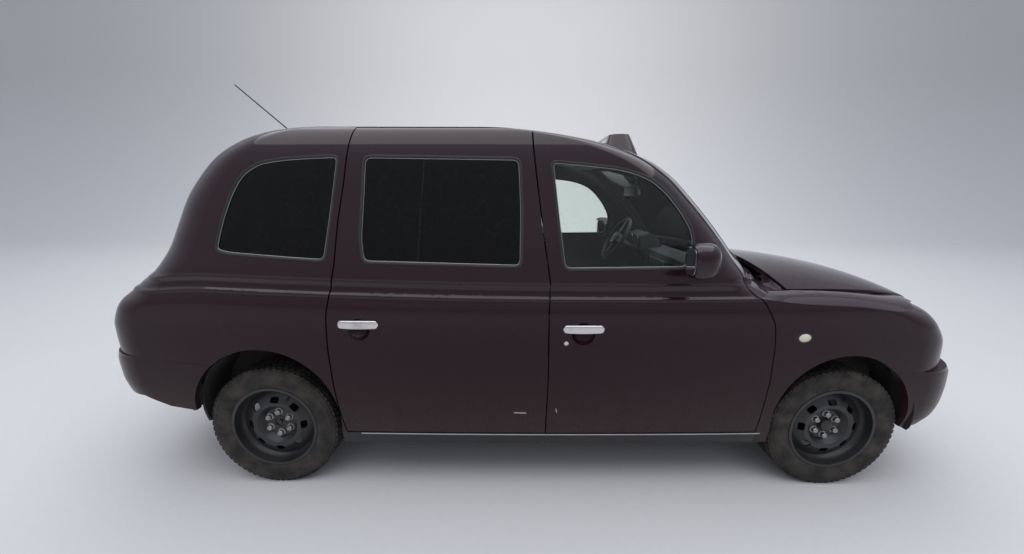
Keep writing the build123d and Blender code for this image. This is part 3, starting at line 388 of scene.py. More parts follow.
class Wire:
    """A value in a material's node tree, with Python's operators as its Math nodes."""

    def __init__(self, shader, socket):
        self.shader = shader
        self.socket = socket

    def math(self, operation, *values):
        return self.shader.node("ShaderNodeMath", {"operation": operation}, dict(enumerate(values)))

    def __add__(self, other):
        return self.math("ADD", self, other)

    def __sub__(self, other):
        return self.math("SUBTRACT", self, other)

    def __rsub__(self, other):
        return self.math("SUBTRACT", other, self)

    def __mul__(self, other):
        return self.math("MULTIPLY", self, other)

    def __pow__(self, other):
        return self.math("POWER", self, other)

    __radd__ = __add__
    __rmul__ = __mul__

    def above(self, start, end):
        """0 below start, 1 above end, eased between them."""
        return self.shader.node(
            "ShaderNodeMapRange", {"interpolation_type": "SMOOTHSTEP"},
            {"Value": self, "From Min": start, "From Max": end},
        )

    def larger(self, other):
        return self.math("MAXIMUM", self, other)


class Shader:
    """A material and the node tree that is being built for it."""

    def __init__(self, name):
        self.material = bpy.data.materials.new(name)
        self.material.use_nodes = True
        self.tree = self.material.node_tree
        self.tree.nodes.clear()
        self.place = self.node("ShaderNodeTexCoord", out="Object")
        self.x, self.y, self.z = [
            self.node("ShaderNodeSeparateXYZ", inputs={"Vector": self.place}, out=axis) for axis in "XYZ"
        ]

    def node(self, kind, settings=None, inputs=None, out=None):
        """Adds one node, sets it and its sockets, and gives the value of one of its outputs."""
        made = self.tree.nodes.new(kind)
        for key, value in (settings or {}).items():
            setattr(made, key, value)
        for key, value in (inputs or {}).items():
            if isinstance(key, int):
                socket = made.inputs[key]
            else:
                socket = next(s for s in made.inputs if key in (s.identifier, s.name) and s.enabled)
            if isinstance(value, Wire):
                self.tree.links.new(value.socket, socket)
            elif isinstance(value, tuple) and len(value) == 3 and socket.type == "RGBA":
                socket.default_value = (*value, 1)
            else:
                socket.default_value = value
        named = (s for s in made.outputs if s.enabled and (out is None or out in (s.identifier, s.name)))
        return Wire(self, next(named))

    def noise(self, scale, detail=2.0, rough=0.5, vector=None):
        """Noise over the object's own coordinates, from 0 to 1."""
        inputs = {"Vector": vector or self.place, "Scale": scale, "Detail": detail, "Roughness": rough}
        return self.node("ShaderNodeTexNoise", inputs=inputs, out="Fac")

    def blend(self, share, low, high):
        """A colour between two others."""
        return self.node(
            "ShaderNodeMix", {"data_type": "RGBA"},
            {"Factor_Float": share, "A_Color": low, "B_Color": high}, out="Result_Color",
        )

    def stretched(self, scale):
        """The object's coordinates, scaled by a different amount along each axis."""
        return self.node("ShaderNodeMapping", inputs={"Vector": self.place, "Scale": scale})

    def bump(self, height, strength=0.3, distance=0.001, under=None):
        inputs = {"Height": height, "Strength": strength, "Distance": distance}
        if under is not None:
            inputs["Normal"] = under
        return self.node("ShaderNodeBump", inputs=inputs)

    def surface(self, **inputs):
        """The Principled shader as the material's surface."""
        names = {key.replace("_", " ").title().replace("Ior", "IOR"): value for key, value in inputs.items()}
        return self.node_out(self.node("ShaderNodeBsdfPrincipled", inputs=names))

    def node_out(self, shaded):
        """The material, with a shader as its surface."""
        made = self.tree.nodes.new("ShaderNodeOutputMaterial")
        self.tree.links.new(shaded.socket, made.inputs["Surface"])
        return self.material

    def near_line(self, start, end, width):
        """1 along a short straight mark between two points, 0 away from it."""
        across = [b - a for a, b in zip(start, end)]
        span = math.dist(start, end)
        moved = self.node("ShaderNodeVectorMath", {"operation": "SUBTRACT"}, {0: self.place, 1: start})
        along = self.node(
            "ShaderNodeVectorMath", {"operation": "DOT_PRODUCT"},
            {0: moved, 1: tuple(a / span**2 for a in across)}, out="Value",
        )
        share = along.math("MINIMUM", along.larger(0.0), 1.0)
        foot = self.node("ShaderNodeVectorMath", {"operation": "SCALE"}, {0: tuple(across), "Scale": share})
        gap = self.node("ShaderNodeVectorMath", {"operation": "DISTANCE"}, {0: moved, 1: foot}, out="Value")
        return 1 - gap.above(width * 0.5, width)


def side_point(x, z):
    """A place on the right-hand side of the body, x from the middle of the wheelbase."""
    half = float(np.interp(z, [row.z for row in LOWER_ROWS], [row.half_width for row in LOWER_ROWS]))
    return (MID_X + x, -half, z)


# Small scratches and chips on the sides: start and end, x from the middle of the wheelbase, and width
MARKS = [
    ((-0.198, 0.448), (-0.145, 0.446), 0.006), ((0.006, 0.470), (0.010, 0.452), 0.004),
    ((1.440, 0.745), (1.492, 0.747), 0.003), ((1.180, 0.655), (1.255, 0.650), 0.003),
    ((-1.838, 0.662), (-1.815, 0.660), 0.005), ((-0.86, 0.720), (-0.79, 0.716), 0.0025),
    ((0.52, 0.612), (0.60, 0.607), 0.0025), ((-1.02, 0.662), (-0.99, 0.652), 0.004),
    ((-0.985, 0.598), (-0.980, 0.592), 0.006), ((0.62, 0.884), (0.70, 0.880), 0.002),
]


def paint_finish(name, colour, flake, dusty=1.0):
    """Dark gloss paint with faint flake, dust low down and a few scratches."""
    shader = Shader(name)
    drift = shader.noise(2.2, 3.0)
    fleck = shader.noise(900.0, 1.0)
    base = shader.blend(fleck.above(0.55, 0.75), colour, flake)
    low = 1 - shader.z.above(0.24, 0.78)
    grains = shader.noise(260.0, 2.0, 0.7)
    streaks = shader.noise(1.0, 3.0, 0.6, shader.stretched((9.0, 9.0, 2.0)))
    dust = (low ** 1.6) * (0.30 + 0.5 * streaks) * (0.35 + grains.above(0.40, 0.62)) * (0.50 * dusty)
    top = shader.z.above(1.60, 1.83) * 0.05 * drift
    base = shader.blend(dust + top, base, (0.13, 0.105, 0.085))
    mark = None
    for start, end, width in MARKS:
        line = shader.near_line(side_point(*start), side_point(*end), width)
        mark = line if mark is None else mark.larger(line)
    mark = mark * shader.noise(300.0, 1.0).above(0.25, 0.45)
    base = shader.blend(mark * 0.8, base, (0.42, 0.38, 0.36))
    wave = shader.noise(1.6, 2.0)
    peel = shader.noise(520.0, 1.0)
    bump = shader.bump(wave, 0.05, 0.004)
    bump = shader.bump(peel, 0.012, 0.0004, bump)
    rough = 0.22 + 0.10 * drift + dust * 0.8 + mark * 0.4
    gloss = (0.40 + 0.60 * shader.z.above(0.80, 1.15)) * (1 - dust * 0.9)
    return shader.surface(
        base_color=base, roughness=rough, metallic=0.0, coat_weight=gloss, coat_roughness=0.04,
        coat_ior=1.45, specular_ior_level=0.05, normal=bump,
    )


def moulded_finish(name, colour, rough=0.5, grain=380.0, height=0.0005, dusty=0.15, mottled=1.25):
    """Moulded plastic, rubber or coated steel with a fine grain and some dust."""
    shader = Shader(name)
    drift = shader.noise(7.0, 4.0, 0.6)
    fine = shader.noise(grain, 3.0, 0.65)
    lighter = tuple(min(1.0, c * mottled + 0.004) for c in colour)
    base = shader.blend(drift.above(0.35, 0.7), colour, lighter)
    dust = fine.above(0.52, 0.78) * drift * dusty
    base = shader.blend(dust, base, (0.20, 0.17, 0.14))
    return shader.surface(
        base_color=base, roughness=rough + 0.14 * (drift - 0.5) + dust * 0.5,
        normal=shader.bump(fine, 0.35, height),
    )


def metal_finish(name, colour, rough=0.2, worn=0.3, rust=0.0, grain=120.0):
    """Bright or bare metal with wear, and rust where wanted."""
    shader = Shader(name)
    drift = shader.noise(14.0, 4.0, 0.65)
    fine = shader.noise(grain, 3.0, 0.7)
    base = shader.blend(drift.above(0.45, 0.75) * worn, colour, tuple(c * 0.45 for c in colour))
    rusty = drift.above(0.62 - 0.35 * rust, 0.80 - 0.2 * rust) * fine.above(0.3, 0.6) * rust
    base = shader.blend(rusty, base, (0.13, 0.052, 0.022))
    return shader.surface(
        base_color=base, metallic=1 - rusty * 0.9, roughness=rough + 0.25 * worn * fine + rusty * 0.5,
        normal=shader.bump(fine, 0.25, 0.0004),
    )


def glass_finish(name, tint, rough=0.02):
    """Clear or tinted glass: see-through by its tint, with the reflection of its surface."""
    shader = Shader(name)
    drift = shader.noise(3.0, 2.0)
    smear = shader.noise(60.0, 3.0, 0.7)
    bump = shader.bump(drift, 0.04, 0.002)
    through = shader.node("ShaderNodeBsdfTransparent", inputs={"Color": tint})
    gloss = shader.node(
        "ShaderNodeBsdfAnisotropic", inputs={"Color": (1.0, 1.0, 1.0), "Roughness": rough, "Normal": bump},
    )
    dust = shader.node("ShaderNodeBsdfDiffuse", inputs={"Color": (0.22, 0.20, 0.18)})
    facing = shader.node("ShaderNodeFresnel", inputs={"IOR": 1.34, "Normal": bump})
    clear = shader.node("ShaderNodeMixShader", inputs={0: facing, 1: through, 2: gloss})
    mixed = shader.node("ShaderNodeMixShader", inputs={0: smear.above(0.45, 0.9) * 0.05, 1: clear, 2: dust})
    return shader.node_out(mixed)


def lens_finish(name, colour, ribs=90.0, axis=1):
    """A ribbed lamp lens, coated, with its colour mottled."""
    shader = Shader(name)
    along = (shader.x, shader.y, shader.z)[axis]
    wave = shader.node("ShaderNodeMath", {"operation": "SINE"}, {0: along * (ribs * 2 * math.pi)})
    drift = shader.noise(18.0, 3.0)
    base = shader.blend(drift.above(0.3, 0.8) * 0.5, colour, tuple(c * 0.6 for c in colour))
    return shader.surface(
        base_color=base, roughness=0.12 + 0.1 * drift, coat_weight=1.0, coat_roughness=0.03,
        normal=shader.bump(wave, 0.25, 0.0015),
    )


def cloth_finish(name, colour, second, weave=420.0):
    """Woven seat cloth with a fine check, lighter in random flecks and patches."""
    shader = Shader(name)
    rows = [
        shader.node("ShaderNodeMath", {"operation": "SINE"}, {0: along * (weave * math.pi)})
        for along in (shader.x, shader.y, shader.z)
    ]
    thread = rows[0] * rows[1] + rows[1] * rows[2] + rows[2] * rows[0]
    drift = shader.noise(9.0, 4.0, 0.6)
    fleck = shader.noise(330.0, 2.0)
    base = shader.blend(fleck.above(0.46, 0.60) * 0.7 + drift * 0.25, colour, second)
    return shader.surface(
        base_color=base, roughness=0.86 + 0.08 * (drift - 0.5), sheen_weight=0.25, sheen_roughness=0.5,
        normal=shader.bump(thread, 0.4, 0.0006),
    )


def tyre_finish(name):
    """Road-worn rubber, dusty brown-grey on the sidewalls and in the tread."""
    shader = Shader(name)
    drift = shader.noise(11.0, 4.0, 0.6)
    fine = shader.noise(420.0, 3.0, 0.7)
    base = shader.blend(drift.above(0.35, 0.75), (0.020, 0.019, 0.018), (0.042, 0.037, 0.032))
    dust = drift.above(0.30, 0.80) * (0.30 + 0.5 * fine)
    base = shader.blend(dust * 0.6, base, (0.115, 0.095, 0.075))
    return shader.surface(
        base_color=base, roughness=0.82 + 0.1 * fine, specular_ior_level=0.3,
        normal=shader.bump(fine, 0.3, 0.0005),
    )


FINISHES = {}


def make_finishes():
    """Every finish of the cab, by the name that the pieces use."""
    tones = bpy.context.scene.cab_tones
    paint = tuple(tones.paint)
    made = {
        "paint": paint_finish("aubergine_paint", paint, tuple(tones.flake)),
        "sill": moulded_finish("sill_coating", (0.012, 0.010, 0.011), 0.42, dusty=0.35),
        "chrome": metal_finish("worn_chrome", (0.66, 0.64, 0.63), 0.16, 0.5),
        "clear_glass": glass_finish("clear_glass", tuple(tones.clear_tint)),
        "dark_glass": glass_finish("privacy_glass", tuple(tones.dark_tint)),
        "seal": moulded_finish("window_rubber", (0.016, 0.016, 0.016), 0.55, 300.0, 0.0003, 0.12),
        "seal_edge": metal_finish("seal_edge_strip", (0.40, 0.43, 0.41), 0.32, 0.4),
        "trim": moulded_finish("cabin_trim", (0.085, 0.080, 0.076), 0.62, 260.0, 0.0005, 0.1),
        "dash_plastic": moulded_finish("dashboard_plastic", (0.050, 0.052, 0.056), 0.55, 340.0, 0.0006, 0.06),
        "black_plastic": moulded_finish("black_plastic", (0.014, 0.014, 0.015), 0.48, 420.0, 0.0003, 0.12),
        "lining": moulded_finish("roof_lining", (0.42, 0.41, 0.38), 0.9, 520.0, 0.0008, 0.1, 1.1),
        "carpet": moulded_finish("floor_rubber", (0.032, 0.031, 0.030), 0.75, 180.0, 0.0015, 0.4),
        "seat_cloth": cloth_finish("seat_cloth", (0.060, 0.066, 0.080), (0.120, 0.126, 0.140)),
        "frame_steel": metal_finish("frame_steel", (0.030, 0.029, 0.028), 0.55, 0.5, 0.5),
        "black_steel": moulded_finish("black_coated_steel", (0.016, 0.016, 0.016), 0.5, 220.0, 0.0006, 0.35),
        "wheel_steel": moulded_finish("black_wheel_enamel", (0.013, 0.013, 0.014), 0.36, 240.0, 0.0004, 0.30),
        "engine_iron": metal_finish("engine_iron", (0.16, 0.155, 0.15), 0.5, 0.5, 0.35),
        "exhaust_steel": metal_finish("exhaust_steel", (0.30, 0.28, 0.26), 0.4, 0.5, 0.6),
        "underbody": moulded_finish("underbody_coating", (0.020, 0.019, 0.018), 0.8, 90.0, 0.002, 0.4),
        "lamp": lens_finish("clear_lamp_lens", (0.62, 0.64, 0.65)),
        "tail_lamp": lens_finish("red_lamp_lens", (0.36, 0.010, 0.012), 120.0, 2),
        "amber": lens_finish("amber_lamp_lens", (0.75, 0.20, 0.02), 120.0, 2),
        "cream": lens_finish("cream_lamp_lens", (0.74, 0.70, 0.50), 160.0, 0),
        "sign": lens_finish("sign_panel", (0.62, 0.60, 0.55), 30.0, 1),
        "plate": moulded_finish("blank_plate", (0.70, 0.69, 0.64), 0.4, 500.0, 0.0002, 0.1),
        "nut": metal_finish("wheel_nut_steel", (0.34, 0.33, 0.32), 0.35, 0.5, 0.4),
        "mirror_glass": metal_finish("mirror_glass", (0.80, 0.81, 0.82), 0.03, 0.02),
        "tyre": tyre_finish("road_tyre_rubber"),
    }
    FINISHES.update(made)


def size_field(name, description, default, least):
    """A length that a user can change."""
    return bpy.props.FloatProperty(
        name=name, description=description, default=default, min=least, unit="LENGTH",
    )


def tone_field(name, description, default):
    """A colour that a user can change."""
    return bpy.props.FloatVectorProperty(
        name=name, description=description, subtype="COLOR", size=3, default=default, min=0, max=1,
    )


class CabSizes(bpy.types.PropertyGroup):
    """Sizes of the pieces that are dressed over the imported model."""

    facet: size_field("Skin facet", "Longest edge of the smooth outer skin", 0.034, 0.01)
    seal_width: size_field("Seal width", "Width of the rubber round each pane", 0.017, 0.004)
    strip_width: size_field("Strip width", "Width of the bright edge inside each seal", 0.0035, 0.001)
    tread_blocks: bpy.props.IntProperty(
        name="Tread blocks", description="Blocks in each of a tyre's rows of tread", default=66, min=20,
    )
    tread_depth: size_field("Tread depth", "Height of the tread blocks", 0.007, 0.001)
    grip_length: size_field("Handle length", "Length of each door handle's bar", 0.192, 0.05)
    seat_swell: size_field("Seat swell", "Furthest that a seat's cloth may swell", 0.022, 0.0)


class CabTones(bpy.types.PropertyGroup):
    """Colours of the cab's main finishes."""

    paint: tone_field("Paint", "Base colour of the body", (0.0175, 0.0058, 0.0088))
    flake: tone_field("Flake", "Colour of the paint's faint flake", (0.038, 0.013, 0.020))
    clear_tint: tone_field("Clear tint", "What one face of the clear panes lets through", (0.94, 0.97, 0.95))
    dark_tint: tone_field("Dark tint", "What one face of the privacy panes lets through", (0.12, 0.12, 0.13))


def new_piece(name, mesh, body, slot, *finishes):
    """An object for a mesh, with its finishes, riding on its body."""
    for finish in finishes:
        mesh.materials.append(FINISHES[finish])
    piece = bpy.data.objects.new(name, mesh)
    bpy.context.scene.collection.objects.link(piece)
    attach(piece, body)
    return piece


def shape_mesh(name, points, faces, smooth=30.0):
    """A mesh with merged points and outward faces, smooth up to an angle."""
    mesh = bpy.data.meshes.new(name)
    mesh.from_pydata([tuple(p) for p in points], [], [tuple(f) for f in faces])
    form = bmesh.new()
    form.from_mesh(mesh)
    bmesh.ops.remove_doubles(form, verts=form.verts, dist=1e-6)
    bmesh.ops.recalc_face_normals(form, faces=form.faces)
    form.to_mesh(mesh)
    form.free()
    mesh.shade_smooth()
    mesh.set_sharp_from_angle(angle=math.radians(smooth))
    return mesh


def merged_mesh(name, parts, smooth=30.0):
    """One mesh of several lists of points and faces."""
    points, faces = [], []
    for some_points, some_faces in parts:
        start = len(points)
        points += [tuple(p) for p in some_points]
        faces += [tuple(i + start for i in face) for face in some_faces]
    return shape_mesh(name, points, faces, smooth)


def parts_piece(name, parts, smooth, body, slot, *finishes):
    """A piece of several lists of points and faces, riding on its body."""
    return new_piece(name, merged_mesh(name, parts, smooth), body, slot, *finishes)


def one_finish(middle, flat, on_skin):
    """The first finish for every face."""
    return np.zeros(len(middle), int)


def lofted(rings, caps=True):
    """Points and faces through closed rings that have the same number of points."""
    count = len(rings[0])
    points = [tuple(p) for ring in rings for p in ring]
    faces = []
    for i in range(len(rings) - 1):
        for j in range(count):
            k = (j + 1) % count
            faces.append((i * count + j, i * count + k, (i + 1) * count + k, (i + 1) * count + j))
    if caps:
        faces.append(tuple(range(count)))
        faces.append(tuple((len(rings) - 1) * count + j for j in range(count)))
    return points, faces


def turned(profile, centre, steps=64, side=1):
    """Points and faces of a form turned about a line across the cab; profile has distance and radius."""
    rings = []
    for i in range(steps):
        angle = 2 * math.pi * i / steps
        rings.append([
            (centre[0] + r * math.sin(angle), centre[1] + side * a, centre[2] + r * math.cos(angle))
            for a, r in profile
        ])
    count = len(profile)
    points = [p for ring in rings for p in ring]
    faces = []
    for i in range(steps):
        j = (i + 1) % steps
        for k in range(count - 1):
            faces.append((i * count + k, i * count + k + 1, j * count + k + 1, j * count + k))
    return points, faces


def rounded(half_a, half_b, radius, steps=5):
    """Points round a rectangle with rounded corners, about the origin."""
    points = []
    for sa, sb, start in ((1, 1, 0), (-1, 1, 90), (-1, -1, 180), (1, -1, 270)):
        for i in range(steps + 1):
            angle = math.radians(start + 90 * i / steps)
            points.append((
                sa * (half_a - radius) + radius * math.cos(angle),
                sb * (half_b - radius) + radius * math.sin(angle),
            ))
    return points


# The waist creases' height, the reach round it, and the share of the facet length used there
CREASE_Z, CREASE_REACH, CREASE_FINER = 1.075, 0.075, 0.42
# How near to a packed skin its own points lie, how near an edge's middle has to lie to be split, and
# the furthest that a point moves onto the smooth skin
ON_SKIN, NEAR_SKIN, FURTHEST = 0.0008, 0.004, 0.02
# Heights between which the skin's normals turn straight up, and the height of the roof's flat
ROOF_FROM, ROOF_BLEND, ROOF_FLAT = 1.815, 0.019, 1.8335
# Faces whose normal strays further than this cosine from the skin's are edges, not skin
SKIN_FACING = 0.72

# Triangles that a triangle is split into, by which of its edges are halved: corners 0 to 2, middles a to c
SPLITS = {
    0: ["012"], 1: ["0a2", "a12"], 2: ["01b", "0b2"], 4: ["01c", "c12"], 3: ["a1b", "0ab", "0b2"],
    6: ["b2c", "01b", "0bc"], 5: ["0ac", "a12", "a2c"], 7: ["0ac", "a1b", "b2c", "abc"],
}


def edges_of(points, faces, flags):
    """A mesh's edges, where each triangle has them, the skins that they lie on, and their sizes."""
    pairs = np.sort(faces[:, [[0, 1], [1, 2], [2, 0]]].reshape(-1, 2), axis=1)
    edges, where = np.unique(pairs, axis=0, return_inverse=True)
    where = where.reshape(-1, 3)
    shared = flags[edges[:, 0]] & flags[edges[:, 1]]
    length = np.linalg.norm(points[edges[:, 0]] - points[edges[:, 1]], axis=1)
    middle = (points[edges[:, 0]] + points[edges[:, 1]]) / 2
    return edges, where, shared, length, middle


def refined(points, faces, flags, skins, longest):
    """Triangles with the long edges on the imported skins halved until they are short."""
    for _ in range(7):
        edges, where, shared, length, middle = edges_of(points, faces, flags)
        creased = np.abs(middle[:, 2] - CREASE_Z) < CREASE_REACH
        wanted = (shared > 0) & (length > np.where(creased, longest * CREASE_FINER, longest))
        near = np.zeros(len(edges), bool)
        for k, (rough_skin, _, _, _) in enumerate(skins):
            use = wanted & ((shared >> k) & 1 > 0)
            if use.any():
                near[use] |= np.abs(rough_skin.outside(middle[use])) < NEAR_SKIN
        wanted &= near
        if not wanted.any():
            break
        new_index = np.full(len(edges), -1)
        new_index[wanted] = len(points) + np.arange(wanted.sum())
        points = np.vstack([points, middle[wanted]])
        flags = np.concatenate([flags, shared[wanted]])
        marks = new_index[where]
        code = (marks[:, 0] >= 0) * 1 + (marks[:, 1] >= 0) * 2 + (marks[:, 2] >= 0) * 4
        corner = {"0": faces[:, 0], "1": faces[:, 1], "2": faces[:, 2],
                  "a": marks[:, 0], "b": marks[:, 1], "c": marks[:, 2]}
        made = []
        for kind, patterns in SPLITS.items():
            pick = code == kind
            for pattern in patterns:
                made.append(np.stack([corner[letter][pick] for letter in pattern], 1))
        faces = np.vstack(made)
    return points, faces, flags


def bumper_pair(rows, name):
    """A bumper's packed surface and its smooth counterpart, with the heights they cover."""
    return (
        Skin(rows, FACE_RADII[name], 0.0, smooth=False), Skin(rows, FACE_RADII[name], 0.0, smooth=True),
        rows[0].z - 0.001, rows[-1].z + 0.001,
    )


def merged_points(source):
    """A CAD node's merged points and triangles, as arrays."""
    form = bmesh.new()
    form.from_mesh(source.data)
    bmesh.ops.remove_doubles(form, verts=form.verts, dist=1e-5)
    bmesh.ops.triangulate(form, faces=form.faces)
    points = np.array([v.co for v in form.verts])
    faces = np.array([[v.index for v in f.verts] for f in form.faces])
    form.free()
    return points, faces


def smooth_copy(node, skins, slot, finishes, choose, drop=None, smooth=28.0):
    """A copy of a CAD node whose outer skin is refined onto the smooth surface and shaded by it.

    choose gives each face's finish from its middle, its normal and whether it lies on the skin, and
    drop marks the faces that another piece stands for.
    """
    source = frame["nodes"][node]
    points, faces = merged_points(source)
    if drop is not None:
        middle = points[faces].mean(1)
        faces = faces[~drop(points[faces], middle)]
    flags = np.zeros(len(points), int)
    for k, (rough_skin, _, low, high) in enumerate(skins):
        on = (np.abs(rough_skin.outside(points)) < ON_SKIN) & (points[:, 2] > low) & (points[:, 2] < high)
        flags |= on.astype(int) << k
    longest = bpy.context.scene.cab_sizes.facet
    points, faces, flags = refined(points, faces, flags, skins, longest)
    corners = points[faces]
    flat = np.cross(corners[:, 1] - corners[:, 0], corners[:, 2] - corners[:, 0])
    flat /= np.maximum(np.linalg.norm(flat, axis=1), 1e-12)[:, None]
    normals = np.zeros((len(faces), 3, 3))
    on_skin = np.zeros(len(faces), bool)
    moved = points.copy()
    for k, (_, smooth_skin, _, _) in enumerate(skins):
        use = np.nonzero((flags >> k) & 1)[0]
        if len(use) == 0:
            continue
        settled, slope = smooth_skin.settle(points[use])
        far = np.linalg.norm(settled - points[use], axis=1) > FURTHEST
        settled[far] = points[use][far]
        moved[use] = settled
        up = np.clip((settled[:, 2] - ROOF_FROM) / ROOF_BLEND, 0, 1)[:, None]
        slope = slope * (1 - up) + np.array([0, 0, 1]) * up
        slope /= np.linalg.norm(slope, axis=1)[:, None]
        known = np.zeros((len(points), 3))
        known[use] = slope
        whole = ((flags[faces] >> k) & 1).all(1)
        facing = (known[faces].mean(1) * flat).sum(1) > SKIN_FACING
        pick = whole & facing & ~on_skin
        normals[pick] = known[faces[pick]]
        on_skin |= pick
    cap = (flat[:, 2] > 0.95) & (corners[:, :, 2].min(1) > ROOF_FLAT)
    normals[cap] = (0, 0, 1)
    on_skin |= cap
    mesh = bpy.data.meshes.new(node + "_dressed")
    mesh.from_pydata(moved.tolist(), [], faces.tolist())
    mesh.polygons.foreach_set("material_index", choose(corners.mean(1), flat, on_skin).astype(np.int32))
    mesh.shade_smooth()
    mesh.set_sharp_from_angle(angle=math.radians(smooth))
    mesh.normals_split_custom_set(normals.reshape(-1, 3).tolist())
    body = body_of(source)
    piece = new_piece(node + "_panel", mesh, body if isinstance(body, str) else body[0], slot, *finishes)
    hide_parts(node)
    return piece


def inside_faces(middle, flat):
    """True for faces that look towards the cab's inside."""
    toward = -middle[:, 1] * flat[:, 1]
    up_in = (middle[:, 2] > 1.2) & (flat[:, 2] < -0.3)
    return (toward > 0.25 * np.abs(middle[:, 1])) | up_in


class CAB_OT_finishes(bpy.types.Operator):
    """Makes every finish of the cab"""

    bl_idname = "cab.finishes"
    bl_label = "Finishes"

    def execute(self, context):
        make_finishes()
        return {"FINISHED"}


# Door handles: x from the middle of the wheelbase, height and door
HANDLES = ((-0.938, 0.905, "rear"), (0.125, 0.888, "front"))
# Radius of the bowl behind a handle, and how far from the cab's middle its faces begin
BOWL_RADIUS, BOWL_FROM = 0.095, 0.845
# Where the body's sides stand out from what lies inside them
SIDE_FROM = 0.868


def handle_zone(x_from_mid, z):
    """Marks the faces of a packed handle's bar and posts, which stand in or over its bowl."""
    x = MID_X + x_from_mid

    def zone(corners, middle):
        half = np.interp(middle[:, 2], [0.8, 1.0], [0.889, 0.880])
        bar = (np.abs(corners[:, :, 0] - x).max(1) < 0.0965) & (np.abs(corners[:, :, 2] - z).max(1) < 0.0140)
        return bar & (np.abs(middle[:, 1]) > half - 0.020) & (np.abs(middle[:, 1]) < 0.93)

    return zone


def mirror_zone(corners, middle):
    """Marks the faces of a packed door mirror, which stands out from the door's upper front corner."""
    near = np.abs(middle[:, 0] - MID_X - 0.64) < 0.16
    return near & (np.abs(middle[:, 1]) > SIDE_FROM) & (middle[:, 2] > 1.13)


class CAB_OT_doors(bpy.types.Operator):
    """Doors with painted skins and trimmed insides"""

    bl_idname = "cab.doors"
    bl_label = "Doors"

    def execute(self, context):
        def choose(middle, flat, on_skin):
            trimmed = inside_faces(middle, flat) & ~on_skin
            bowl = np.zeros(len(middle), bool)
            for x, z, _ in HANDLES:
                bowl |= np.hypot(middle[:, 0] - MID_X - x, middle[:, 2] - z) < BOWL_RADIUS
            bowl &= ~on_skin & (np.abs(middle[:, 1]) > BOWL_FROM)
            return np.where(trimmed & ~bowl, 1, 0)

        for name, _ in SIDES:
            for x, z, place in HANDLES:
                zone = handle_zone(x, z)

                def drop(corners, middle):
                    return zone(corners, middle) | (mirror_zone(corners, middle) & (place == "front"))

                smooth_copy(f"{name}_{place}_door", skins_at(), "paint", ("paint", "trim"), choose, drop)
        return {"FINISHED"}


class CAB_OT_body(bpy.types.Operator):
    """Painted body panels, bumpers and sills"""

    bl_idname = "cab.body"
    bl_label = "Body panels"

    def execute(self, context):
        def painted(middle, flat, on_skin):
            return np.where(inside_faces(middle, flat) & ~on_skin, 1, 0)

        def roof(middle, flat, on_skin):
            return np.where(~on_skin & (flat[:, 2] < -0.2), 1, 0)

        def wings(middle, flat, on_skin):
            return np.where(~on_skin & (flat[:, 2] < 0.2) & (np.abs(middle[:, 1]) < SIDE_FROM), 1, 0)

        def lid(middle, flat, on_skin):
            return np.where(flat[:, 2] < -0.2, 1, 0)

        body = skins_at()
        nose = body + [(WingTop(False), WingTop(True), 0.6, 1.1)]
        bonnet = [(Bonnet(False), Bonnet(True), 0.5, 1.2)]
        front = [bumper_pair(FRONT_BUMPER_ROWS, "front_bumper")]
        rear = [bumper_pair(REAR_BUMPER_ROWS, "rear_bumper")]
        for node, skins, within, choose in (
            ("roof_panel", body, "lining", roof), ("windscreen_frame", body, "trim", painted),
            ("rear_quarters", body, "trim", painted), ("rear_panel", body, "trim", painted),
            ("boot_lid", body, "trim", painted), ("front_wings", nose, "underbody", wings),
            ("nose_panel", nose, "black_plastic", painted), ("bonnet", bonnet, "black_steel", lid),
            ("front_bumper", front, "black_plastic", painted),
            ("rear_bumper", rear, "black_plastic", painted),
        ):
            smooth_copy(node, skins, "paint", ("paint", within), choose)
        smooth_copy("sills", body, "sill", ("sill",), one_finish)
        return {"FINISHED"}


# Depths of a pane's outer and inner face below the body's skin
PANE_DEPTHS = (0.010, 0.015)


class CAB_OT_glass(bpy.types.Operator):
    """Clear front panes and dark privacy panes"""

    bl_idname = "cab.glass"
    bl_label = "Glass"

    def execute(self, context):
        pairs = []
        for depth in PANE_DEPTHS:
            faces = [Skin(UPPER_ROWS, FACE_RADII["upper"], depth, smooth) for smooth in (False, True)]
            pairs.append((*faces, 1.1, 1.9))
        for node, tint in (
            ("windscreen", "clear_glass"), ("right_front_door_glass", "clear_glass"),
            ("left_front_door_glass", "clear_glass"), ("right_rear_door_glass", "dark_glass"),
            ("left_rear_door_glass", "dark_glass"), ("rear_glass", "dark_glass"),
        ):
            smooth_copy(node, pairs, tint, (tint,), one_finish)
        return {"FINISHED"}


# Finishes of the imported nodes, also where a piece stands for the node
CARRIED = {
    "lamp": "headlamps", "black_plastic": "grille steering_wheel", "tail_lamp": "tail_lamps",
    "underbody": "floor_pan", "black_steel": "bulkhead aerial fuel_tank", "trim": "door_posts partition",
    "frame_steel": "chassis_frame propeller_shaft rear_axle front_suspension right_knuckle left_knuckle",
    "engine_iron": "engine", "wheel_steel": "right_front_rim left_front_rim right_rear_rim left_rear_rim",
    "dash_plastic": "dashboard", "paint": "roof_sign", "exhaust_steel": "exhaust",
}


class CAB_OT_carried(bpy.types.Operator):
    """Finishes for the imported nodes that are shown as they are"""

    bl_idname = "cab.carried"
    bl_label = "Carried nodes"

    def execute(self, context):
        for finish, nodes in CARRIED.items():
            for node in nodes.split():
                slots = frame["nodes"][node].material_slots
                for slot in slots:
                    slot.material = FINISHES[finish]
                if not slots:
                    frame["nodes"][node].data.materials.append(FINISHES[finish])
        return {"FINISHED"}


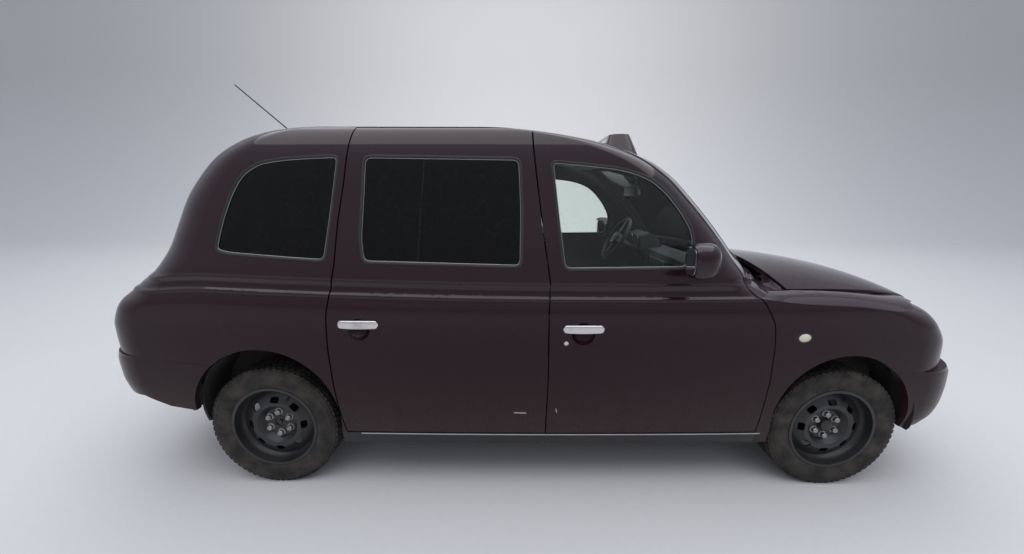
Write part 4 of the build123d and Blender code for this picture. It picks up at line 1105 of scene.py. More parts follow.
def side_y(x, z, depth=0.0):
    """Half width of the smooth outer skin at places on the side, less a depth."""
    x, z = np.atleast_1d(x).astype(float), np.atleast_1d(z).astype(float)
    y = np.full_like(x, 0.85)
    skins = [pair[1] for pair in skins_at()]
    for _ in range(6):
        points = np.stack([x, -y, z], 1)
        gaps = [skin.outside(points) for skin in skins]
        gap = np.where(z < 1.035, gaps[0], np.where(z < 1.125, gaps[1], gaps[2]))
        y = y - np.clip(gap, -0.05, 0.05)
    return y - depth


def face_x(skin, y, z, start, way=1, rounds=14):
    """Where a skin's front or rear face lies at places across it, walked to from a start."""
    x = np.full(len(y), start)
    for _ in range(rounds):
        x = x - way * np.clip(skin.outside(np.stack([x, y, z], 1)), -0.2, 0.2)
    return x


def rounded_path(points, radius, steps=6):
    """A closed outline in two directions with its corners rounded."""
    found = []
    count = len(points)
    for i in range(count):
        before, here, after = [np.array(points[(i + k) % count]) for k in (-1, 0, 1)]
        a, b = before - here, after - here
        reach = min(radius, 0.45 * np.linalg.norm(a), 0.45 * np.linalg.norm(b))
        start = here + a / np.linalg.norm(a) * reach
        end = here + b / np.linalg.norm(b) * reach
        for k in range(steps + 1):
            t = k / steps
            found.append((1 - t) ** 2 * start + 2 * t * (1 - t) * here + t * t * end)
    return np.array(found)


def evened(points, step=0.02):
    """The same closed outline with points at even distances."""
    loop = np.vstack([points, points[:1]])
    along = np.concatenate([[0], np.cumsum(np.linalg.norm(np.diff(loop, axis=0), axis=1))])
    count = max(12, int(along[-1] / step))
    at = np.linspace(0, along[-1], count, endpoint=False)
    return np.stack([np.interp(at, along, loop[:, k]) for k in range(loop.shape[1])], 1)


def pulled_in(points, amount):
    """A closed outline of even points moved towards its inside."""
    ahead = np.roll(points, -1, 0) - np.roll(points, 1, 0)
    ahead /= np.linalg.norm(ahead, axis=1)[:, None]
    area = (points[:, 0] * np.roll(points[:, 1], -1) - np.roll(points[:, 0], -1) * points[:, 1]).sum()
    turn = 1 if area > 0 else -1
    return points + amount * turn * np.stack([-ahead[:, 1], ahead[:, 0]], 1)


# Outlines of the side windows: x from the middle of the wheelbase, and height
QUARTER_WINDOW = [
    (-1.618, 1.243), (-1.600, 1.321), (-1.572, 1.412), (-1.530, 1.516), (-1.471, 1.605), (-1.390, 1.655),
    (-1.275, 1.673), (-1.138, 1.682), (-1.005, 1.687), (-1.022, 1.571), (-1.051, 1.391), (-1.084, 1.194),
    (-1.247, 1.203), (-1.549, 1.225),
]
REAR_WINDOW = [
    (-0.900, 1.685), (-0.172, 1.676), (-0.160, 1.439), (-0.163, 1.172), (-0.917, 1.190), (-0.929, 1.300),
]
FRONT_WINDOW = [
    (-0.042, 1.666), (0.141, 1.650), (0.278, 1.635), (0.370, 1.611), (0.439, 1.580), (0.510, 1.522),
    (0.577, 1.441), (0.626, 1.360), (0.642, 1.292), (0.614, 1.168), (0.024, 1.160), (-0.002, 1.349),
]


# Bottom, top, half width below and above, of the windscreen at 1 and the backlight at -1
END_WINDOWS = (((1.165, 1.700, 0.655, 0.560), 1), ((1.190, 1.655, 0.600, 0.520), -1))
# How much of a depth below the windscreen or the backlight goes forward or back
PANE_LEAN = 0.75


def window_loops(outline, pull, depth):
    """A window's outline on the right-hand side, pulled in and set below the skin."""
    flat = pulled_in(evened(rounded_path(outline, 0.040)), pull)
    x = flat[:, 0] + MID_X
    return np.stack([x, -side_y(x, flat[:, 1], depth), flat[:, 1]], 1)


def end_loops(bottom, top, half_bottom, half_top, pull, depth, way):
    """The outline of the windscreen or the backlight, on the skin's front or rear face."""
    corners = [(-half_bottom, bottom), (half_bottom, bottom), (half_top, top), (-half_top, top)]
    flat = pulled_in(evened(rounded_path(corners, 0.05)), pull)
    x = face_x(skins_at()[2][1], flat[:, 0], flat[:, 1], 1.1 if way > 0 else -1.9, way)
    return np.stack([x - way * depth * PANE_LEAN, flat[:, 0], flat[:, 1] - depth * 0.5], 1)


def node_tree(name, sockets):
    """A geometry node tree with a Geometry input and output and named inputs for its sizes."""
    tree = bpy.data.node_groups.new(name, "GeometryNodeTree")
    tree.interface.new_socket("Geometry", in_out="INPUT", socket_type="NodeSocketGeometry")
    for label, kind in sockets:
        tree.interface.new_socket(label, in_out="INPUT", socket_type=kind)
    tree.interface.new_socket("Geometry", in_out="OUTPUT", socket_type="NodeSocketGeometry")
    return tree


def grown(name, tree, mesh, values):
    """The plain mesh that a geometry node tree makes of a mesh, with inputs set by their identifiers."""
    carrier = bpy.data.objects.new(name, mesh)
    bpy.context.scene.collection.objects.link(carrier)
    modifier = carrier.modifiers.new("grow", "NODES")
    modifier.node_group = tree
    for item in tree.interface.items_tree:
        if item.in_out == "INPUT" and item.name in values:
            modifier[item.identifier] = values[item.name]
    carrier.update_tag()
    bpy.context.view_layer.update()
    graph = bpy.context.evaluated_depsgraph_get()
    made = bpy.data.meshes.new_from_object(carrier.evaluated_get(graph))
    made.name = name
    carrier.modifiers.remove(modifier)
    bpy.data.objects.remove(carrier)
    return made


def wired(tree, kinds, links):
    """Adds nodes to a tree by label and kind, and links them by label and socket."""
    made = {label: tree.nodes.new(kind) for label, kind in kinds.items()}
    for source, output, target, socket in links:
        tree.links.new(made[source].outputs[output], made[target].inputs[socket])
    return made


def bead_tree():
    """A round bead swept along the edges of a mesh."""
    tree = node_tree("bead_along_edges", [
        ("Radius", "NodeSocketFloat"), ("Sides", "NodeSocketInt"), ("Finish", "NodeSocketMaterial"),
    ])
    made = wired(tree, {
        "given": "NodeGroupInput", "out": "NodeGroupOutput", "curve": "GeometryNodeMeshToCurve",
        "ring": "GeometryNodeCurvePrimitiveCircle", "sweep": "GeometryNodeCurveToMesh",
        "smooth": "GeometryNodeSetShadeSmooth", "real": "GeometryNodeRealizeInstances",
        "finish": "GeometryNodeSetMaterial",
    }, [
        ("given", "Geometry", "curve", "Mesh"), ("given", "Sides", "ring", "Resolution"),
        ("given", "Radius", "ring", "Radius"), ("curve", 0, "sweep", "Curve"),
        ("ring", 0, "sweep", "Profile Curve"), ("sweep", 0, "smooth", 0), ("smooth", 0, "real", 0),
        ("real", 0, "finish", 0), ("given", "Finish", "finish", "Material"), ("finish", 0, "out", 0),
    ])
    made["sweep"].inputs["Fill Caps"].default_value = True
    return tree


def bead(name, paths, radius, finish, body, slot, sides=10, closed=True):
    """A bead of a finish along several paths, as one piece that rides on a body."""
    points, edges = [], []
    for path in paths:
        start = len(points)
        count = len(path)
        points += [tuple(p) for p in path]
        edges += [(start + i, start + i + 1) for i in range(count - 1)]
        if closed:
            edges.append((start + count - 1, start))
    mesh = bpy.data.meshes.new(name)
    mesh.from_pydata(points, edges, [])
    tree = bpy.data.node_groups.get("bead_along_edges") or bead_tree()
    made = grown(name, tree, mesh, {"Radius": radius, "Sides": sides, "Finish": FINISHES[finish]})
    form = bmesh.new()
    form.from_mesh(made)
    bmesh.ops.recalc_face_normals(form, faces=form.faces)
    form.to_mesh(made)
    form.free()
    made.materials.clear()
    return new_piece(name, made, body, slot, finish)


def mirrored_points(points):
    """The same points on the cab's other side."""
    return np.asarray(points) * np.array([1, -1, 1])


def web(loops):
    """A thin closed band through loops of points, back to the first."""
    return lofted([list(map(tuple, loop)) for loop in [*loops, loops[0]]], caps=False)


class CAB_OT_seals(bpy.types.Operator):
    """Rubber and bright edges round every pane"""

    bl_idname = "cab.seals"
    bl_label = "Window seals"

    def execute(self, context):
        sizes = context.scene.cab_sizes
        rubber, bright = sizes.seal_width / 2, sizes.strip_width / 2
        for label, pull, depth, radius, finish in (
            ("gasket", rubber * 0.55, 0.0075, rubber, "seal"),
            ("edge", rubber * 1.62, 0.0065, bright, "seal_edge"),
        ):
            slot = "trim" if finish == "seal" else "chrome"
            sides = 10 if finish == "seal" else 6
            for place, outline in (("front", FRONT_WINDOW), ("rear", REAR_WINDOW)):
                path = window_loops(outline, pull, depth)
                for name, sign in SIDES:
                    door = f"{name}_{place}"
                    there = [path * np.array([1, -sign, 1])]
                    bead(f"{door}_window_{label}", there, radius, finish, f"{door}_door", slot, sides)
            quarter = window_loops(QUARTER_WINDOW, pull, depth)
            paths = [quarter, mirrored_points(quarter)]
            if label == "gasket":
                paths += [end_loops(*outline, pull, depth, way) for outline, way in END_WINDOWS]
            bead(f"fixed_window_{label}", paths, radius, finish, "root", slot, sides)
        self.webs()
        return {"FINISHED"}

    def webs(self):
        """Painted webs that round the corners of the window openings, flush with the skin."""
        steps = ((0.0, 0.0007), (-0.026, 0.0007), (-0.026, 0.0040), (0.0, 0.0040))
        for place, outline in (("front", FRONT_WINDOW), ("rear", REAR_WINDOW)):
            loops = [window_loops(outline, pull, depth) for pull, depth in steps]
            for name, sign in SIDES:
                made = [web([loop * np.array([1, -sign, 1]) for loop in loops])]
                parts_piece(f"{name}_{place}_window_web", made, 30, f"{name}_{place}_door", "paint", "paint")
        loops = [window_loops(QUARTER_WINDOW, pull, depth) for pull, depth in steps]
        parts = [web(loops), web([mirrored_points(loop) for loop in loops])]
        for outline, way in END_WINDOWS:
            parts.append(web([end_loops(*outline, pull, depth, way) for pull, depth in steps]))
        parts_piece("fixed_window_webs", parts, 30, "root", "paint", "paint")


# A handle's bar: where along its half its round end begins, its half height and half depth, and how far
# its middle stands off the skin and its ends bow back
GRIP_ROUND, GRIP_HALF_HEIGHT, GRIP_HALF_DEPTH = 0.86, 0.0215, 0.0085
GRIP_STAND_OFF, GRIP_BOW = 0.0075, 0.006
# Profile of a door lock's barrel: distance out from the skin and radius
LOCK_PROFILE = [(0.004, 0.0), (0.004, 0.0075), (0.0045, 0.0085), (0.0035, 0.0105), (-0.004, 0.011)]


class CAB_OT_handles(bpy.types.Operator):
    """Worn bright bars over the doors' bowls, and the front locks"""

    bl_idname = "cab.handles"
    bl_label = "Door handles"

    def execute(self, context):
        length = context.scene.cab_sizes.grip_length
        for x_mid, z_mid, place in HANDLES:
            rings = []
            for i in range(25):
                t = -1 + 2 * i / 24
                end = math.sqrt(max(0.0, 1 - (max(0.0, abs(t) - GRIP_ROUND) / (1 - GRIP_ROUND)) ** 2))
                x = MID_X + x_mid + t * length / 2
                half_height = GRIP_HALF_HEIGHT * (0.35 + 0.65 * end) * (1 - 0.10 * t * t)
                half_depth = GRIP_HALF_DEPTH * (0.30 + 0.70 * end)
                z = z_mid + 0.0035
                y = float(side_y(x, z)[0]) + GRIP_STAND_OFF - GRIP_BOW * t * t
                section = rounded(half_height, half_depth, half_depth * 0.8, 4)
                rings.append([(x, -y - b, z + a) for a, b in section])
            parts = [lofted(rings)]
            section = rounded(0.011, 0.012, 0.005, 3)
            for way in (-1, 1):
                x = MID_X + x_mid + way * 0.082
                y = float(side_y(x, z_mid)[0])
                post = [[(x + a, -y - depth, z_mid + b) for a, b in section] for depth in (0.006, -0.024)]
                parts.append(lofted(post))
            for name, sign in SIDES:
                made = [([(px, py * -sign, pz) for px, py, pz in points], faces) for points, faces in parts]
                parts_piece(f"{name}_{place}_handle", made, 40, f"{name}_{place}_door", "chrome", "chrome")
                if place == "front":
                    centre = (MID_X + 0.044, 0.0, 0.821)
                    y = float(side_y(centre[0], centre[2])[0])
                    lock = turned(LOCK_PROFILE, (centre[0], sign * y, centre[2]), 28, sign)
                    parts_piece(f"{name}_door_lock", [lock], 30, f"{name}_front_door", "chrome", "chrome")
        return {"FINISHED"}


# Door mirror sections: y, shift along the cab, half length and half height
MIRROR_STATIONS = [
    (0.862, 0.020, 0.026, 0.030), (0.880, 0.016, 0.034, 0.038), (0.893, 0.008, 0.048, 0.054),
    (0.908, 0.002, 0.062, 0.070), (0.928, -0.003, 0.073, 0.079), (0.955, -0.008, 0.077, 0.081),
    (0.983, -0.013, 0.072, 0.076), (1.003, -0.018, 0.060, 0.066), (1.014, -0.021, 0.044, 0.051),
    (1.018, -0.023, 0.026, 0.033),
]
MIRROR_BACK = -0.060


class CAB_OT_mirrors(bpy.types.Operator):
    """Door mirrors: painted shells, black necks and silvered glass"""

    bl_idname = "cab.mirrors"
    bl_label = "Door mirrors"

    def execute(self, context):
        x_mid, z_mid = MID_X + 0.622, 1.226
        for name, sign in SIDES:
            rings = []
            for y, shift, half_x, half_z in MIRROR_STATIONS:
                ring = []
                for i in range(40):
                    angle = 2 * math.pi * i / 40
                    c, s = math.cos(angle), math.sin(angle)
                    a = math.copysign(abs(c) ** 0.72, c)
                    b = math.copysign(abs(s) ** 0.72, s)
                    x = max(shift + half_x * a, MIRROR_BACK)
                    ring.append((x_mid + x, sign * y, z_mid + half_z * b))
                rings.append(ring)
            door = f"{name}_front_door"
            parts_piece(f"{name}_mirror_shell", [lofted(rings)], 45, door, "paint", "paint")
            glass = [
                [(x_mid + x, sign * (0.960 + a), z_mid + b) for a, b in rounded(0.042, 0.058, 0.024, 6)]
                for x in (MIRROR_BACK + 0.0015, MIRROR_BACK - 0.0025)
            ]
            parts_piece(f"{name}_mirror_glass", [lofted(glass)], 30, door, "chrome", "mirror_glass")
            neck = []
            for y, shift, half_x, half_z, drop in (
                (0.800, 0.036, 0.050, 0.052, -0.030), (0.842, 0.034, 0.047, 0.046, -0.026),
                (0.866, 0.030, 0.036, 0.036, -0.018), (0.884, 0.022, 0.028, 0.030, -0.010),
            ):
                section = rounded(half_x, half_z, 0.018, 4)
                neck.append([(x_mid + shift + a, sign * y, z_mid + drop + b) for a, b in section])
            parts_piece(f"{name}_mirror_neck", [lofted(neck)], 40, door, "trim", "black_plastic")
        return {"FINISHED"}


def domed_patch(x_mid, z_mid, half_x, half_z, rise):
    """An oval lens on the cab's side: a dome over the skin with a short rim below it."""
    turns = 2 * np.pi * np.arange(36) / 36
    rings = []
    for t, height in [(k / 6, rise * (1 - (k / 6) ** 2)) for k in range(7)] + [(1.0, -0.008)]:
        x = x_mid + half_x * t * np.cos(turns)
        z = z_mid + half_z * t * np.sin(turns)
        rings.append(np.stack([x, -(side_y(x, z) + height), z], 1).tolist())
    return lofted(rings)


class CAB_OT_lamps(bpy.types.Operator):
    """Side repeaters, headlamp and tail-lamp lenses, reflectors and blank plates"""

    bl_idname = "cab.lamps"
    bl_label = "Lamps and plates"

    def execute(self, context):
        patch = domed_patch(MID_X + 1.184, 0.844, 0.032, 0.0225, 0.010)
        rim = domed_patch(MID_X + 1.184, 0.844, 0.037, 0.027, 0.0045)
        for name, sign in SIDES:
            for label, shape, finish in (("lens", patch, "cream"), ("rim", rim, "seal")):
                points = [(x, y * -sign, z) for x, y, z in shape[0]]
                parts_piece(f"{name}_side_repeater_{label}", [(points, shape[1])], 50, "root", "lamp", finish)
        lower_pairs = skins_at(0.002) + skins_at(0.004)

        def lamp_bands(middle, flat, on_skin):
            return np.where(middle[:, 2] > 0.925, 0, np.where(middle[:, 2] > 0.855, 1, 2))

        smooth_copy("headlamps", lower_pairs, "lamp", ("lamp",), one_finish)
        smooth_copy("tail_lamps", lower_pairs, "tail_lamp", ("tail_lamp", "amber", "tail_lamp"), lamp_bands)

        def grille_parts(middle, flat, on_skin):
            bottom, top, half = 0.672 + 0.019, 0.806 - 0.019, 0.270 - 0.016
            edge = (middle[:, 2] < bottom) | (middle[:, 2] > top)
            share = np.clip((middle[:, 2] - 0.672) / 0.134, 0, 1)
            edge |= np.abs(middle[:, 1]) > half + 0.030 * share
            return np.where(edge & (flat[:, 0] > -0.3), 0, 1)

        smooth_copy("grille", skins_at(), "chrome", ("chrome", "black_plastic"), grille_parts)
        self.lamp_rings()
        self.plates()
        return {"FINISHED"}

    def lamp_rings(self):
        """A bright ring round each headlamp, on the wing's skin."""
        paths = []
        skin = skins_at()[0][1]
        for sign in (-1, 1):
            angle = np.linspace(0, 2 * np.pi, 72, endpoint=False)
            y = sign * 0.575 + 0.087 * np.cos(angle)
            z = 0.762 + 0.087 * np.sin(angle)
            paths.append(np.stack([face_x(skin, y, z, 2.05, rounds=12) - 0.001, y, z], 1))
        bead("headlamp_rings", paths, 0.0042, "chrome", "root", "chrome", 8)

    def plates(self):
        """Blank number plates bent to the bumper and the boot lid."""
        for name, z_mid, radius, middle_x, way, body in (
            ("front_plate", 0.418, 2.0, 2.2695, 1, "root"),
            ("rear_plate", 0.868, 3.2, -2.2725, -1, "boot_lid"),
        ):
            grid = []
            for z in (z_mid - 0.055, z_mid + 0.055):
                across = [-0.260 + 0.520 * i / 26 for i in range(27)]
                bends = [radius - math.sqrt(radius * radius - y * y) for y in across]
                grid.append([(middle_x - way * bend, y, z) for y, bend in zip(across, bends)])
            parts_piece(name, [sheet(grid, (way * 0.003, 0, 0))], 30, body, "lamp", "plate")


def sheet(grid, shift):
    """A closed thin sheet: a grid of points, and the same grid moved by a shift."""
    rows, columns = len(grid), len(grid[0])
    points = [tuple(p) for row in grid for p in row]
    points += [tuple(a + b for a, b in zip(p, shift)) for p in points]
    under = rows * columns
    faces = []
    for i in range(rows - 1):
        for j in range(columns - 1):
            quad = (i * columns + j, i * columns + j + 1, (i + 1) * columns + j + 1, (i + 1) * columns + j)
            faces += [quad, tuple(q + under for q in quad)]
    rim = list(range(columns)) + [i * columns + columns - 1 for i in range(1, rows)]
    rim += [(rows - 1) * columns + j for j in range(columns - 2, -1, -1)]
    rim += [i * columns for i in range(rows - 2, 0, -1)]
    for a, b in zip(rim, rim[1:] + rim[:1]):
        faces.append((a, b, b + under, a + under))
    return points, faces


def both_sides(parts):
    """The same parts on the right-hand and the left-hand side."""
    return [([(x, y * sign, z) for x, y, z in points], faces) for points, faces in parts for sign in (1, -1)]


class CAB_OT_covers(bpy.types.Operator):
    """Wing crowns, cowl corners, wheel-arch liner ends and the panel over the boot lid"""

    bl_idname = "cab.covers"
    bl_label = "Covers"

    def execute(self, context):
        top = WingTop(True)
        grid = []
        for i in range(37):
            x = 1.340 + 0.620 * i / 36
            inner = float(np.interp(x - FRONT_AXLE_X, *list(zip(*BONNET_ROWS))[:2])) + 0.0095
            outer = 0.84
            for _ in range(4):
                outer = float(side_y(x, top.height(np.array([x]), np.array([outer])))[0]) - 0.004
            row = []
            for j in range(15):
                y = inner + (outer - inner) * j / 14
                fade = min(1.0, i / 2, (36 - i) / 2, 0.5 * (14 - j))
                z = float(top.height(np.array([x]), np.array([y]))[0]) - 0.0012 + 0.0021 * fade
                row.append((x, -y, z))
            grid.append(row)
        parts_piece("wing_crowns", both_sides([sheet(grid, (0, 0, -0.005))]), 35, "root", "paint", "paint")
        grid = []
        for y in np.linspace(0.500, 0.6885, 12):
            edge = 1.362 - (1.400 - math.sqrt(1.400**2 - y * y))
            rise = 1.150 - 2.219 + math.sqrt(2.219**2 - y * y)
            front = (1.2535, max(1.032, rise - 0.011))
            grid.append([
                (edge - 0.020 + t * (front[0] - edge + 0.020), -y, 1.030 + t * t * (front[1] - 1.030))
                for t in (0.0, 0.35, 0.7, 1.0)
            ])
        parts_piece("cowl_corners", both_sides([sheet(grid, (0, 0, -0.008))]), 35, "root", "paint", "paint")
        parts = []
        turns = [math.radians(t) for t in range(52, -8, -6)]
        front = [(0.376 * math.cos(t), 0.402 + 0.376 * math.sin(t)) for t in turns]
        front += [(0.3765, 0.350), (0.379, 0.326)]
        rear = [(0.352, 0.556), (0.362, 0.528), (0.370, 0.500), (0.377, 0.468), (0.381, 0.432)]
        for axle, way, curve in ((FRONT_AXLE_X, 1, front), (REAR_AXLE_X, -1, rear)):
            grid = []
            for t in np.linspace(0, 1, 7):
                reach = [0.612 + t * (0.232 - 0.6 * max(0.0, 0.36 - z)) for _, z in curve]
                grid.append([(axle + way * a, -y, z) for (a, z), y in zip(curve, reach)])
            parts.append(sheet(grid, (way * 0.004, 0, 0)))
        wall = [[(x, -0.420, z) for z in np.linspace(0.360, 0.840, 6)] for x in np.linspace(1.175, 2.050, 10)]
        parts.append(sheet(wall, (0, 0.004, 0)))
        parts_piece("arch_liner_ends", both_sides(parts), 35, "root", "underbody", "underbody")
        grid = []
        for y in np.linspace(-0.5955, 0.5955, 41):
            z = np.linspace(1.0845, 1.205, 9)
            x = np.full(9, -2.05)
            for _ in range(14):
                points = np.stack([x, np.full(9, y), z], 1)
                gaps = [pair[1].outside(points) for pair in skins_at()]
                x = x + np.clip(np.where(z < 1.125, gaps[1], gaps[2]), -0.2, 0.2)
            grid.append([(px + 0.0006, y, pz) for px, pz in zip(x, z)])
        parts_piece("boot_hinge_panel", [sheet(grid, (0.003, 0, 0))], 35, "root", "paint", "paint")
        return {"FINISHED"}


class CAB_OT_trims(bpy.types.Operator):
    """Sill strips and wipers"""

    bl_idname = "cab.trims"
    bl_label = "Outer trims"

    def execute(self, context):
        x = np.linspace(-0.98, 1.06, 60)
        strip = np.stack([x + MID_X, -side_y(x + MID_X, np.full(60, 0.3125), 0.0), np.full(60, 0.3125)], 1)
        strips = [strip, mirrored_points(strip)]
        bead("sill_strips", strips, 0.0032, "seal_edge", "root", "chrome", 6, closed=False)
        self.wipers()
        return {"FINISHED"}

    def wipers(self):
        """Two wipers parked along the foot of the windscreen."""
        skin = skins_at()[2][1]
        blades, arms = [], []
        for start, end, pivot in ((-0.60, -0.08, -0.10), (0.02, 0.54, 0.50)):
            y = np.linspace(start, end, 16)
            z = np.linspace(1.178, 1.205, 16)
            blades.append(np.stack([face_x(skin, y, z, 1.1) - 0.002, y, z + 0.006], 1))
            y_arm = np.linspace(pivot, y[8], 10)
            z_arm = np.linspace(1.140, z[8], 10)
            arms.append(np.stack([face_x(skin, y_arm, z_arm, 1.1) + 0.008, y_arm, z_arm + 0.010], 1))
        bead("wiper_blades", blades, 0.0055, "seal", "root", "trim", 6, closed=False)
        bead("wiper_arms", arms, 0.0050, "black_plastic", "root", "trim", 6, closed=False)


def tread_tree():
    """A ring of tread blocks about the Z axis."""
    tree = node_tree("tread_ring", [
        ("Count", "NodeSocketInt"), ("Radius", "NodeSocketFloat"), ("Offset", "NodeSocketFloat"),
        ("Turn", "NodeSocketFloat"), ("Block", "NodeSocketVector"), ("Skew", "NodeSocketFloat"),
        ("Finish", "NodeSocketMaterial"),
    ])
    made = wired(tree, {
        "given": "NodeGroupInput", "out": "NodeGroupOutput", "ring": "GeometryNodeMeshCircle",
        "block": "GeometryNodeMeshCube", "index": "GeometryNodeInputIndex", "share": "ShaderNodeMath",
        "angle": "ShaderNodeMath", "turn": "ShaderNodeCombineXYZ", "place": "GeometryNodeInstanceOnPoints",
        "shift": "ShaderNodeCombineXYZ", "swing": "ShaderNodeCombineXYZ", "move": "GeometryNodeTransform",
        "real": "GeometryNodeRealizeInstances", "finish": "GeometryNodeSetMaterial",
    }, [
        ("given", "Count", "ring", "Vertices"), ("given", "Radius", "ring", "Radius"),
        ("given", "Block", "block", "Size"), ("index", 0, "share", 0), ("given", "Count", "share", 1),
        ("share", 0, "angle", 0), ("given", "Skew", "turn", "X"), ("angle", 0, "turn", "Z"),
        ("ring", 0, "place", "Points"), ("block", "Mesh", "place", "Instance"),
        ("turn", 0, "place", "Rotation"),
        ("given", "Offset", "shift", "Z"), ("given", "Turn", "swing", "Z"), ("place", 0, "move", "Geometry"),
        ("shift", 0, "move", "Translation"), ("swing", 0, "move", "Rotation"), ("move", 0, "real", 0),
        ("real", 0, "finish", 0), ("given", "Finish", "finish", "Material"), ("finish", 0, "out", 0),
    ])
    made["share"].operation = "DIVIDE"
    made["angle"].operation = "MULTIPLY"
    made["angle"].inputs[1].default_value = 2 * math.pi
    return tree


# Half section of a tyre's carcass: distance from its middle and radius, in metres
TYRE_PROFILE = [
    (-0.0725, 0.2110), (-0.0770, 0.2200), (-0.0805, 0.2300), (-0.0820, 0.2315), (-0.0835, 0.2360),
    (-0.0850, 0.2420), (-0.0878, 0.2560), (-0.0888, 0.2700), (-0.0884, 0.2840), (-0.0866, 0.2955),
    (-0.0870, 0.2965), (-0.0860, 0.2985), (-0.0842, 0.3000), (-0.0812, 0.3080), (-0.0770, 0.3140),
    (-0.0705, 0.3175), (-0.0560, 0.3188), (-0.0280, 0.3195),
]
# Rows of tread blocks: radius, distance from the middle, width, stagger in pitches and skew
TREAD_ROWS = [
    (0.3205, 0.0640, 0.0185, 0.5, 0.10), (0.3212, 0.0365, 0.0270, 0.0, 0.16),
    (0.3214, 0.0, 0.0330, 0.5, -0.12), (0.3212, -0.0365, 0.0270, 0.0, 0.16),
    (0.3205, -0.0640, 0.0185, 0.5, 0.10),
]
# Hub and nut profiles: distance from the mounting face and radius
CAP_PROFILE = [
    (0.001, 0.0), (0.001, 0.0335), (0.018, 0.0335), (0.026, 0.0315), (0.031, 0.026), (0.033, 0.016),
    (0.0335, 0.0),
]
FLANGE_PROFILE = [
    (0.0, 0.0), (0.0, 0.0335), (0.008, 0.0335), (0.008, 0.027), (0.003, 0.025), (0.003, 0.012),
    (0.011, 0.011), (0.011, 0.0),
]
WASHER_PROFILE = [(0.002, 0.0), (0.002, 0.0200), (0.0075, 0.0195), (0.0090, 0.0165), (0.0090, 0.0)]
NUT_PROFILE = [(0.006, 0.0), (0.006, 0.0150), (0.0235, 0.0150), (0.0260, 0.0125), (0.0260, 0.0)]
NUT_CIRCLE = 0.060


class CAB_OT_wheels(bpy.types.Operator):
    """Tyres with their tread blocks, and the steel wheels' nuts, caps and valves"""

    bl_idname = "cab.wheels"
    bl_label = "Wheels"

    def execute(self, context):
        def nuts(middle, flat, on_skin):
            radius = np.hypot(middle[:, 0] - self.x, middle[:, 2] - AXLE_Z)
            face = np.abs(middle[:, 1]) - TRACK / 2
            angle = np.arctan2(middle[:, 0] - self.x, middle[:, 2] - AXLE_Z)
            near = np.abs((angle / (math.pi / 3) + 0.5) % 1 - 0.5) * (math.pi / 3) * NUT_CIRCLE < 0.0125
            return np.where((np.abs(radius - NUT_CIRCLE) < 0.0125) & near & (face > 0.0262), 1, 0)

        for place, x in (("front", FRONT_AXLE_X), ("rear", REAR_AXLE_X)):
            for name, sign in SIDES:
                self.x = x
                body = f"{name}_{place}_wheel"
                smooth_copy(f"{name}_{place}_rim", [], "wheel_steel", ("wheel_steel", "nut"), nuts, None, 32)
                self.tyre(context, name, place, x, sign, body)
                self.hub(name, place, x, sign, body)
        return {"FINISHED"}

    def tyre(self, context, name, place, x, sign, body):
        """A tyre's carcass with its rows of tread blocks."""
        sizes = context.scene.cab_sizes
        profile = TYRE_PROFILE + [(-a, r) for a, r in reversed(TYRE_PROFILE)]
        profile += [(0.070, 0.2080), (-0.070, 0.2080), profile[0]]
        parts = [turned(profile, (x, sign * TRACK / 2, AXLE_Z), 96, sign)]
        tree = bpy.data.node_groups.get("tread_ring") or tread_tree()
        pitch = 2 * math.pi / sizes.tread_blocks
        for radius, offset, width, stagger, skew in TREAD_ROWS:
            made = grown("tread_row", tree, bpy.data.meshes.new("tread_seed"), {
                "Count": sizes.tread_blocks, "Radius": radius, "Offset": offset, "Turn": stagger * pitch,
                "Block": (sizes.tread_depth, 0.325 * pitch * 0.74, width), "Skew": skew,
                "Finish": FINISHES["tyre"],
            })
            row = [(x + v.co.x, sign * (TRACK / 2 + v.co.z), AXLE_Z + v.co.y) for v in made.vertices]
            parts.append((row, [tuple(p.vertices) for p in made.polygons]))
            bpy.data.meshes.remove(made)
        piece = parts_piece(f"{name}_{place}_tyre_dressed", parts, 35, body, "tyre", "tyre")
        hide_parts(f"{name}_{place}_tyre")

    def hub(self, name, place, x, sign, body):
        """A domed cap on the front hubs, an open flange on the rear ones, and a valve."""
        start = TRACK / 2 + 0.020
        profile = CAP_PROFILE if place == "front" else FLANGE_PROFILE
        cap = turned(profile, (x, sign * start, AXLE_Z), 40, sign)
        parts_piece(f"{name}_{place}_hub_cap", [cap], 32, body, "wheel_steel", "wheel_steel")
        parts = []
        for i in range(6):
            angle = math.pi / 3 * i
            at = (x + NUT_CIRCLE * math.sin(angle), sign * start, AXLE_Z + NUT_CIRCLE * math.cos(angle))
            parts += [turned(WASHER_PROFILE, at, 24, sign), turned(NUT_PROFILE, at, 6, sign)]
        parts_piece(f"{name}_{place}_nuts", parts, 32, body, "chrome", "nut")
        angle = math.radians(25)
        s, c = math.sin(angle), math.cos(angle)
        foot = Vector((x + 0.172 * s, sign * (TRACK / 2 + 0.030), AXLE_Z + 0.172 * c))
        tip = foot + Vector((-0.020 * s, sign * 0.030, -0.020 * c))
        bead(f"{name}_{place}_valve", [[foot, tip]], 0.0038, "seal", body, "trim", 10, closed=False)


